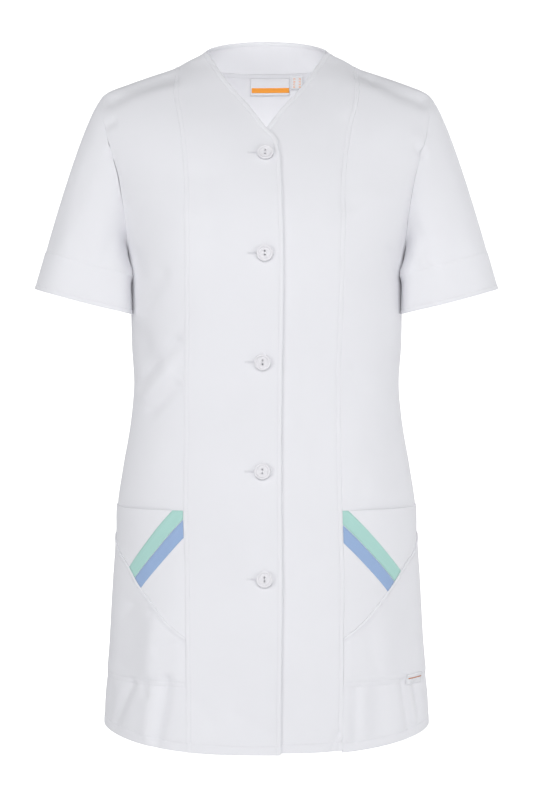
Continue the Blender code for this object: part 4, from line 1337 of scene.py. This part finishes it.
def plain(name, colour, roughness, grain, share):
    """A smooth finish with slow unevenness of colour and a fine grain, on the piece's own place."""
    material, shader, tree = tree_of(name)
    bumped(tree, shader, mapped_noise(tree, grain, 3.0), 0.4, GRAIN_DEPTH)
    toned(tree, shader, mapped_noise(tree, grain / 8), colour, share)
    shader.inputs["Roughness"].default_value = roughness
    shader.inputs["Specular IOR Level"].default_value = 0.3
    return material


def one_stitch():
    """Points and faces of one stitch."""
    turn = (np.arange(STITCH_SIDES) + 0.5) * 2 * math.pi / STITCH_SIDES
    points = [
        (along, radius * math.cos(angle), rise + radius * math.sin(angle))
        for along, radius, rise in STITCH
        for angle in turn
    ]
    faces = []
    for ring in range(len(STITCH) - 1):
        for corner in range(STITCH_SIDES):
            beside = (corner + 1) % STITCH_SIDES
            low, high = ring * STITCH_SIDES, (ring + 1) * STITCH_SIDES
            faces.append((low + corner, low + beside, high + beside, high + corner))
    last = (len(STITCH) - 1) * STITCH_SIDES
    faces.append(tuple(range(STITCH_SIDES))[::-1])
    faces.append(tuple(range(last, last + STITCH_SIDES)))
    return np.array(points), np.array(faces)


def laid(centres, directions, normals, size):
    """Points of stitches at these centres, each along its direction."""
    points, _ = one_stitch()
    directions = directions / np.linalg.norm(directions, axis=-1, keepdims=True)
    sideways = np.cross(normals, directions)
    sideways /= np.linalg.norm(sideways, axis=-1, keepdims=True)
    frames = np.stack((directions, sideways, np.cross(directions, sideways)), axis=1)
    return centres[:, None] + (points * size) @ frames


def topstitched(path, normals):
    """Points of the stitches along a line of a piece."""
    length = lengths_along(path)
    count = max(2, round(length[-1] / STITCH_PITCH))
    at = (np.arange(count) + 0.5) * length[-1] / count
    read = lambda values, where: np.stack([np.interp(where, length, column) for column in values.T], axis=1)
    directions = read(path, at + STITCH_PITCH / 4) - read(path, at - STITCH_PITCH / 4)
    up = read(normals, at)
    return laid(read(path, at) + up * (TOPSTITCH[2] / 3), directions, up, TOPSTITCH)


def sew(name, groups, material):
    """One piece of many stitches."""
    points = np.concatenate(groups)
    _, faces = one_stitch()
    steps = np.arange(len(points))[:, None, None] * points.shape[1]
    piece = mesh_piece(name, points.reshape(-1, 3), (faces[None] + steps).reshape(-1, 4))
    piece.data.materials.append(material)
    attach(piece, "root")
    return piece


def place_on_front(x, z):
    """A point of the worn right front, and the normal there."""
    places = np.stack(np.broadcast_arrays(np.asarray(x, float), np.asarray(z, float)), axis=-1)
    return worn(on_form(places, FRONT), FRONT)


def upright(normals):
    """Directions up the cloth."""
    return np.cross(normals, (-1.0, 0.0, 0.0))


def build_buttonholes(thread, shade):
    satin, slit_shades = [], []
    for z in BUTTON_HEIGHTS:
        end = centre_line(z) + BUTTONHOLE["past_button"]
        start = end - BUTTONHOLE["length"]
        x = np.arange(start, end, BUTTONHOLE["pitch"])
        for row in (-1, 1):
            points, normals = place_on_front(x, z + row * BUTTONHOLE["half_height"])
            satin.append(laid(points, upright(normals), normals, SATIN))
        beyond = np.arange(TACK_STITCHES) * BUTTONHOLE["pitch"]
        ends = np.concatenate((start - beyond, end + beyond))
        points, normals = place_on_front(ends, z)
        satin.append(laid(points, upright(normals), normals, BAR_TACK))
        # A strip of painted shade down the middle of each buttonhole, standing for the shadow in its slit
        points, normals = place_on_front(np.array([(start + end) / 2]), z)
        across = np.cross(upright(normals), normals)
        slit_shades.append(laid(points + normals * SLIT_SHADE[2], across, normals, SLIT_SHADE))
    sew("buttonhole_stitching", satin, thread)
    sew("buttonhole_slit_shade", slit_shades, shade)


def picked(shape, keep):
    """Select only the faces that keep() accepts, in edit mode."""
    for face in shape.faces:
        face.select = bool(keep(face))
    shape.select_flush_mode()
    bmesh.update_edit_mesh(bpy.context.edit_object.data)


def picked_edges(shape, keep):
    bpy.ops.mesh.select_mode(type="EDGE")
    for edge in shape.edges:
        edge.select = bool(keep(edge))
    shape.select_flush_mode()
    bmesh.update_edit_mesh(bpy.context.edit_object.data)


def model_button():
    """A button lying on its back: rounded rim, dished middle and two holes along Y."""
    radius, height = BUTTON["radius"], BUTTON["height"]
    bpy.ops.object.select_all(action="DESELECT")
    middle = (0, 0, height / 2)
    bpy.ops.mesh.primitive_cylinder_add(vertices=48, radius=radius, depth=height, location=middle)
    button = bpy.context.object
    bpy.ops.object.transform_apply(location=True)
    bpy.ops.object.mode_set(mode="EDIT")
    bpy.ops.mesh.select_mode(type="FACE")
    shape = bmesh.from_edit_mesh(button.data)
    picked(shape, lambda face: face.normal.z > 0.9)
    bpy.ops.mesh.inset(thickness=BUTTON["rim"])
    bpy.ops.mesh.inset(thickness=BUTTON["dish"], depth=-BUTTON["dish_depth"])
    bpy.ops.mesh.inset(thickness=BUTTON["dish"])
    shape = bmesh.from_edit_mesh(button.data)
    rim = lambda edge: all(abs(v.co.xy.length - radius) < 1e-5 for v in edge.verts)
    flat = lambda edge: abs(edge.verts[0].co.z - edge.verts[1].co.z) < 1e-6
    picked_edges(shape, lambda edge: rim(edge) and flat(edge))
    bpy.ops.mesh.bevel(offset=BUTTON["round"], segments=4)
    shape = bmesh.from_edit_mesh(button.data)
    inner = radius - BUTTON["rim"]
    lip = lambda edge: all(abs(v.co.xy.length - inner) < 2e-4 for v in edge.verts)
    picked_edges(shape, lambda edge: flat(edge) and lip(edge))
    bpy.ops.mesh.bevel(offset=BUTTON["round"] / 2, segments=3)
    bpy.ops.object.mode_set(mode="OBJECT")
    for row in (-1, 1):
        bpy.ops.mesh.primitive_cylinder_add(
            vertices=20,
            radius=BUTTON_HOLE["radius"],
            depth=4 * height,
            location=(0, row * BUTTON_HOLE["offset"], 0),
        )
        drill = bpy.context.object
        bpy.context.view_layer.objects.active = button
        hole = button.modifiers.new("hole", "BOOLEAN")
        hole.object = drill
        bpy.ops.object.modifier_apply(modifier="hole")
        bpy.data.objects.remove(drill)
    bpy.ops.object.select_all(action="DESELECT")
    button.select_set(True)
    bpy.ops.object.mode_set(mode="EDIT")
    bpy.ops.mesh.select_all(action="SELECT")
    bpy.ops.mesh.quads_convert_to_tris()
    bpy.ops.mesh.normals_make_consistent(inside=False)
    bpy.ops.object.mode_set(mode="OBJECT")
    bpy.ops.object.shade_smooth_by_angle(angle=math.radians(35))
    return button


def build_buttons(shell, thread):
    first = model_button()
    knots = []
    for number, z in enumerate(BUTTON_HEIGHTS, start=1):
        (point,), (normal,) = place_on_front([centre_line(z)], z)
        button = first if number == 1 else bpy.data.objects.new("button", first_mesh.copy())
        if number == 1:
            first_mesh = first.data.copy()
        else:
            bpy.context.scene.collection.objects.link(button)
        button.name = "button_" + str(number) + "_shell"
        turn = Matrix.Rotation(math.pi / 2 - math.asin(normal[2]), 4, "X")
        button.data.transform(Matrix.Translation(point + normal * BUTTON_STAND) @ turn)
        button.data.materials.clear()
        button.data.materials.append(shell)
        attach(button, "root")
        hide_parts("button_" + str(number))
        strands = np.array(((-STRAND_OFFSET, 0.0, 0.0), (STRAND_OFFSET, 0.0, 0.0)))
        top = point + normal * (BUTTON_STAND + BUTTON["height"] - BUTTON["dish_depth"])
        normals = np.repeat(normal[None], len(strands), axis=0)
        knots.append(laid(top + strands, upright(normals), normals, BUTTON_THREAD))
    bpy.data.meshes.remove(first_mesh)
    sew("button_thread", knots, thread)


def label_places(box, across, up):
    x_from, x_to, foot, top = box
    return np.stack(np.meshgrid(np.linspace(x_from, x_to, across), np.linspace(foot, top, up)), axis=-1)


def woven_label(name, node, box, face, low_at, thickness, material, count):
    """A small woven piece over a panel. Its outer side is the one away from the panel."""
    places = label_places(box, *count)
    flat = on_form(places, face)
    points, normals = worn(flat, face)
    away = distances(flat)
    low = low_at(places)
    edge = np.minimum.reduce([away[side] for side in ("inner", "outer", "foot", "top")])
    high = low + thickness + rolled(edge, (LABEL_ROUND, thickness / 2))
    facing = -1 if face == BACK else 1
    outer, inner = (high, low) if facing == 1 else (-low, -high)
    piece = sheet(name, points, normals, outer, inner, away["uv"])
    piece.data.materials.append(material)
    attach(piece, "root")
    if node:
        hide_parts(node)
    return piece


def number_centre(row, column):
    """Where a number stands on the size tag."""
    x_from, x_to, foot, top = SIZE_TAG
    beside, above = NUMBER_MARGINS
    across = (column + 0.5 + beside) / (len(SIZE_NUMBERS[0]) + 2 * beside)
    down = (row + 0.5 + above) / (len(SIZE_NUMBERS) + 2 * above)
    return x_from + (x_to - x_from) * across, top + (foot - top) * down


def build_numbers(low_at, material):
    """Plain garment sizes on the size tag."""
    made = []
    for row, numbers in enumerate(SIZE_NUMBERS):
        for column, number in enumerate(numbers):
            bpy.ops.object.select_all(action="DESELECT")
            bpy.ops.object.text_add()
            text = bpy.context.object
            text.data.body = number
            text.data.size = NUMBER_HEIGHT / CAP_SHARE
            text.data.align_x = "CENTER"
            text.data.align_y = "CENTER"
            text.data.extrude = NUMBER_DEPTH
            bpy.ops.object.convert(target="MESH")
            text = bpy.context.object
            local = np.array([vertex.co for vertex in text.data.vertices])
            places = local[:, :2] + number_centre(row, column)
            points, normals = worn(on_form(places, BACK), BACK)
            moved = points - normals * (low_at(places) + LABEL + NUMBER_STAND + local[:, 2])[:, None]
            text.data.vertices.foreach_set("co", moved.astype(np.float32).ravel())
            made.append(text)
    bpy.ops.object.select_all(action="DESELECT")
    for text in made:
        text.select_set(True)
    bpy.context.view_layer.objects.active = made[0]
    bpy.ops.object.join()
    numbers = bpy.context.object
    numbers.name = "size_numbers"
    bpy.ops.object.mode_set(mode="EDIT")
    bpy.ops.mesh.select_all(action="SELECT")
    bpy.ops.mesh.normals_make_consistent(inside=False)
    bpy.ops.object.mode_set(mode="OBJECT")
    numbers.data.materials.clear()
    numbers.data.materials.append(material)
    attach(numbers, "root")
    return numbers


def off_the_cloth(box, stand):
    """How far inside the form a label at the neck lies, which is further at its free foot."""
    return lambda places: WALL + stand[0] + stand[1] * ease(places[..., 1], box[3], box[2])


def over_the_pocket(places):
    """How far outside the form the seam tag lies."""
    above_foot = np.clip(places[..., 1] - POCKET_FOOT, 0, 1)
    return 2 * POCKET_STAND + 2 * layer_thickness(above_foot) + SEAM_TAG_STAND


def over_label(low_at):
    return lambda places: low_at(places) + LABEL + BAR_STAND


def build_labels(woven, orange, brown, thread):
    neck_at = off_the_cloth(NECK_LABEL, NECK_LABEL_STAND)
    tag_at = off_the_cloth(SIZE_TAG, SIZE_TAG_STAND)
    neck = woven_label("neck_label_cloth", "neck_label", NECK_LABEL, BACK, neck_at, LABEL, woven, (40, 20))
    bar = woven_label(
        "neck_label_bar", None, NECK_LABEL_BAR, BACK, over_label(neck_at), BAR_DEPTH, orange, (40, 8)
    )
    tag = woven_label("size_tag_cloth", "size_tag", SIZE_TAG, BACK, tag_at, LABEL, woven, (16, 16))
    numbers = build_numbers(tag_at, orange)
    seam = woven_label(
        "seam_tag_cloth", "seam_tag", SEAM_TAG, FRONT, over_the_pocket, LABEL, woven, (16, 14)
    )
    stripe = woven_label(
        "seam_tag_bar", None, SEAM_TAG_BAR, FRONT, over_label(over_the_pocket), BAR_DEPTH, brown, (16, 4)
    )
    groups = []
    start, end, down = LABEL_STITCH_INSET
    for (x_from, x_to, _, top), low_at in ((NECK_LABEL, neck_at), (SIZE_TAG, tag_at)):
        x = np.arange(x_from + start, x_to - end, LABEL_STITCH_PITCH)
        places = np.stack((x, np.full_like(x, top - down)), axis=1)
        points, normals = worn(on_form(places, BACK), BACK)
        skin = points - normals * (low_at(places) + LABEL)[:, None]
        groups.append(laid(skin, np.gradient(skin, axis=0), -normals, LABEL_STITCH))
    sew("label_stitching", groups, thread)


def main():
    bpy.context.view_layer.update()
    set_camera()
    build_studio()
    white, green, blue = [woven_cloth(name, *look) for name, look in CLOTHS.items()]
    thread, shell, shade, woven, orange, brown = [plain(name, *look) for name, look in FINISHES.items()]
    threads = {"hem": [], "cuffs": []}
    build_fronts(white, threads)
    build_side_fronts(white, threads)
    build_back(white, threads)
    build_neckband(white, threads)
    build_sleeves(white, threads)
    build_pockets(white, threads)
    build_tapes({"green": green, "blue": blue})
    for name, groups in threads.items():
        sew("topstitching_" + name, groups, thread)
    build_buttonholes(thread, shade)
    build_buttons(shell, thread)
    build_labels(woven, orange, brown, thread)


main()
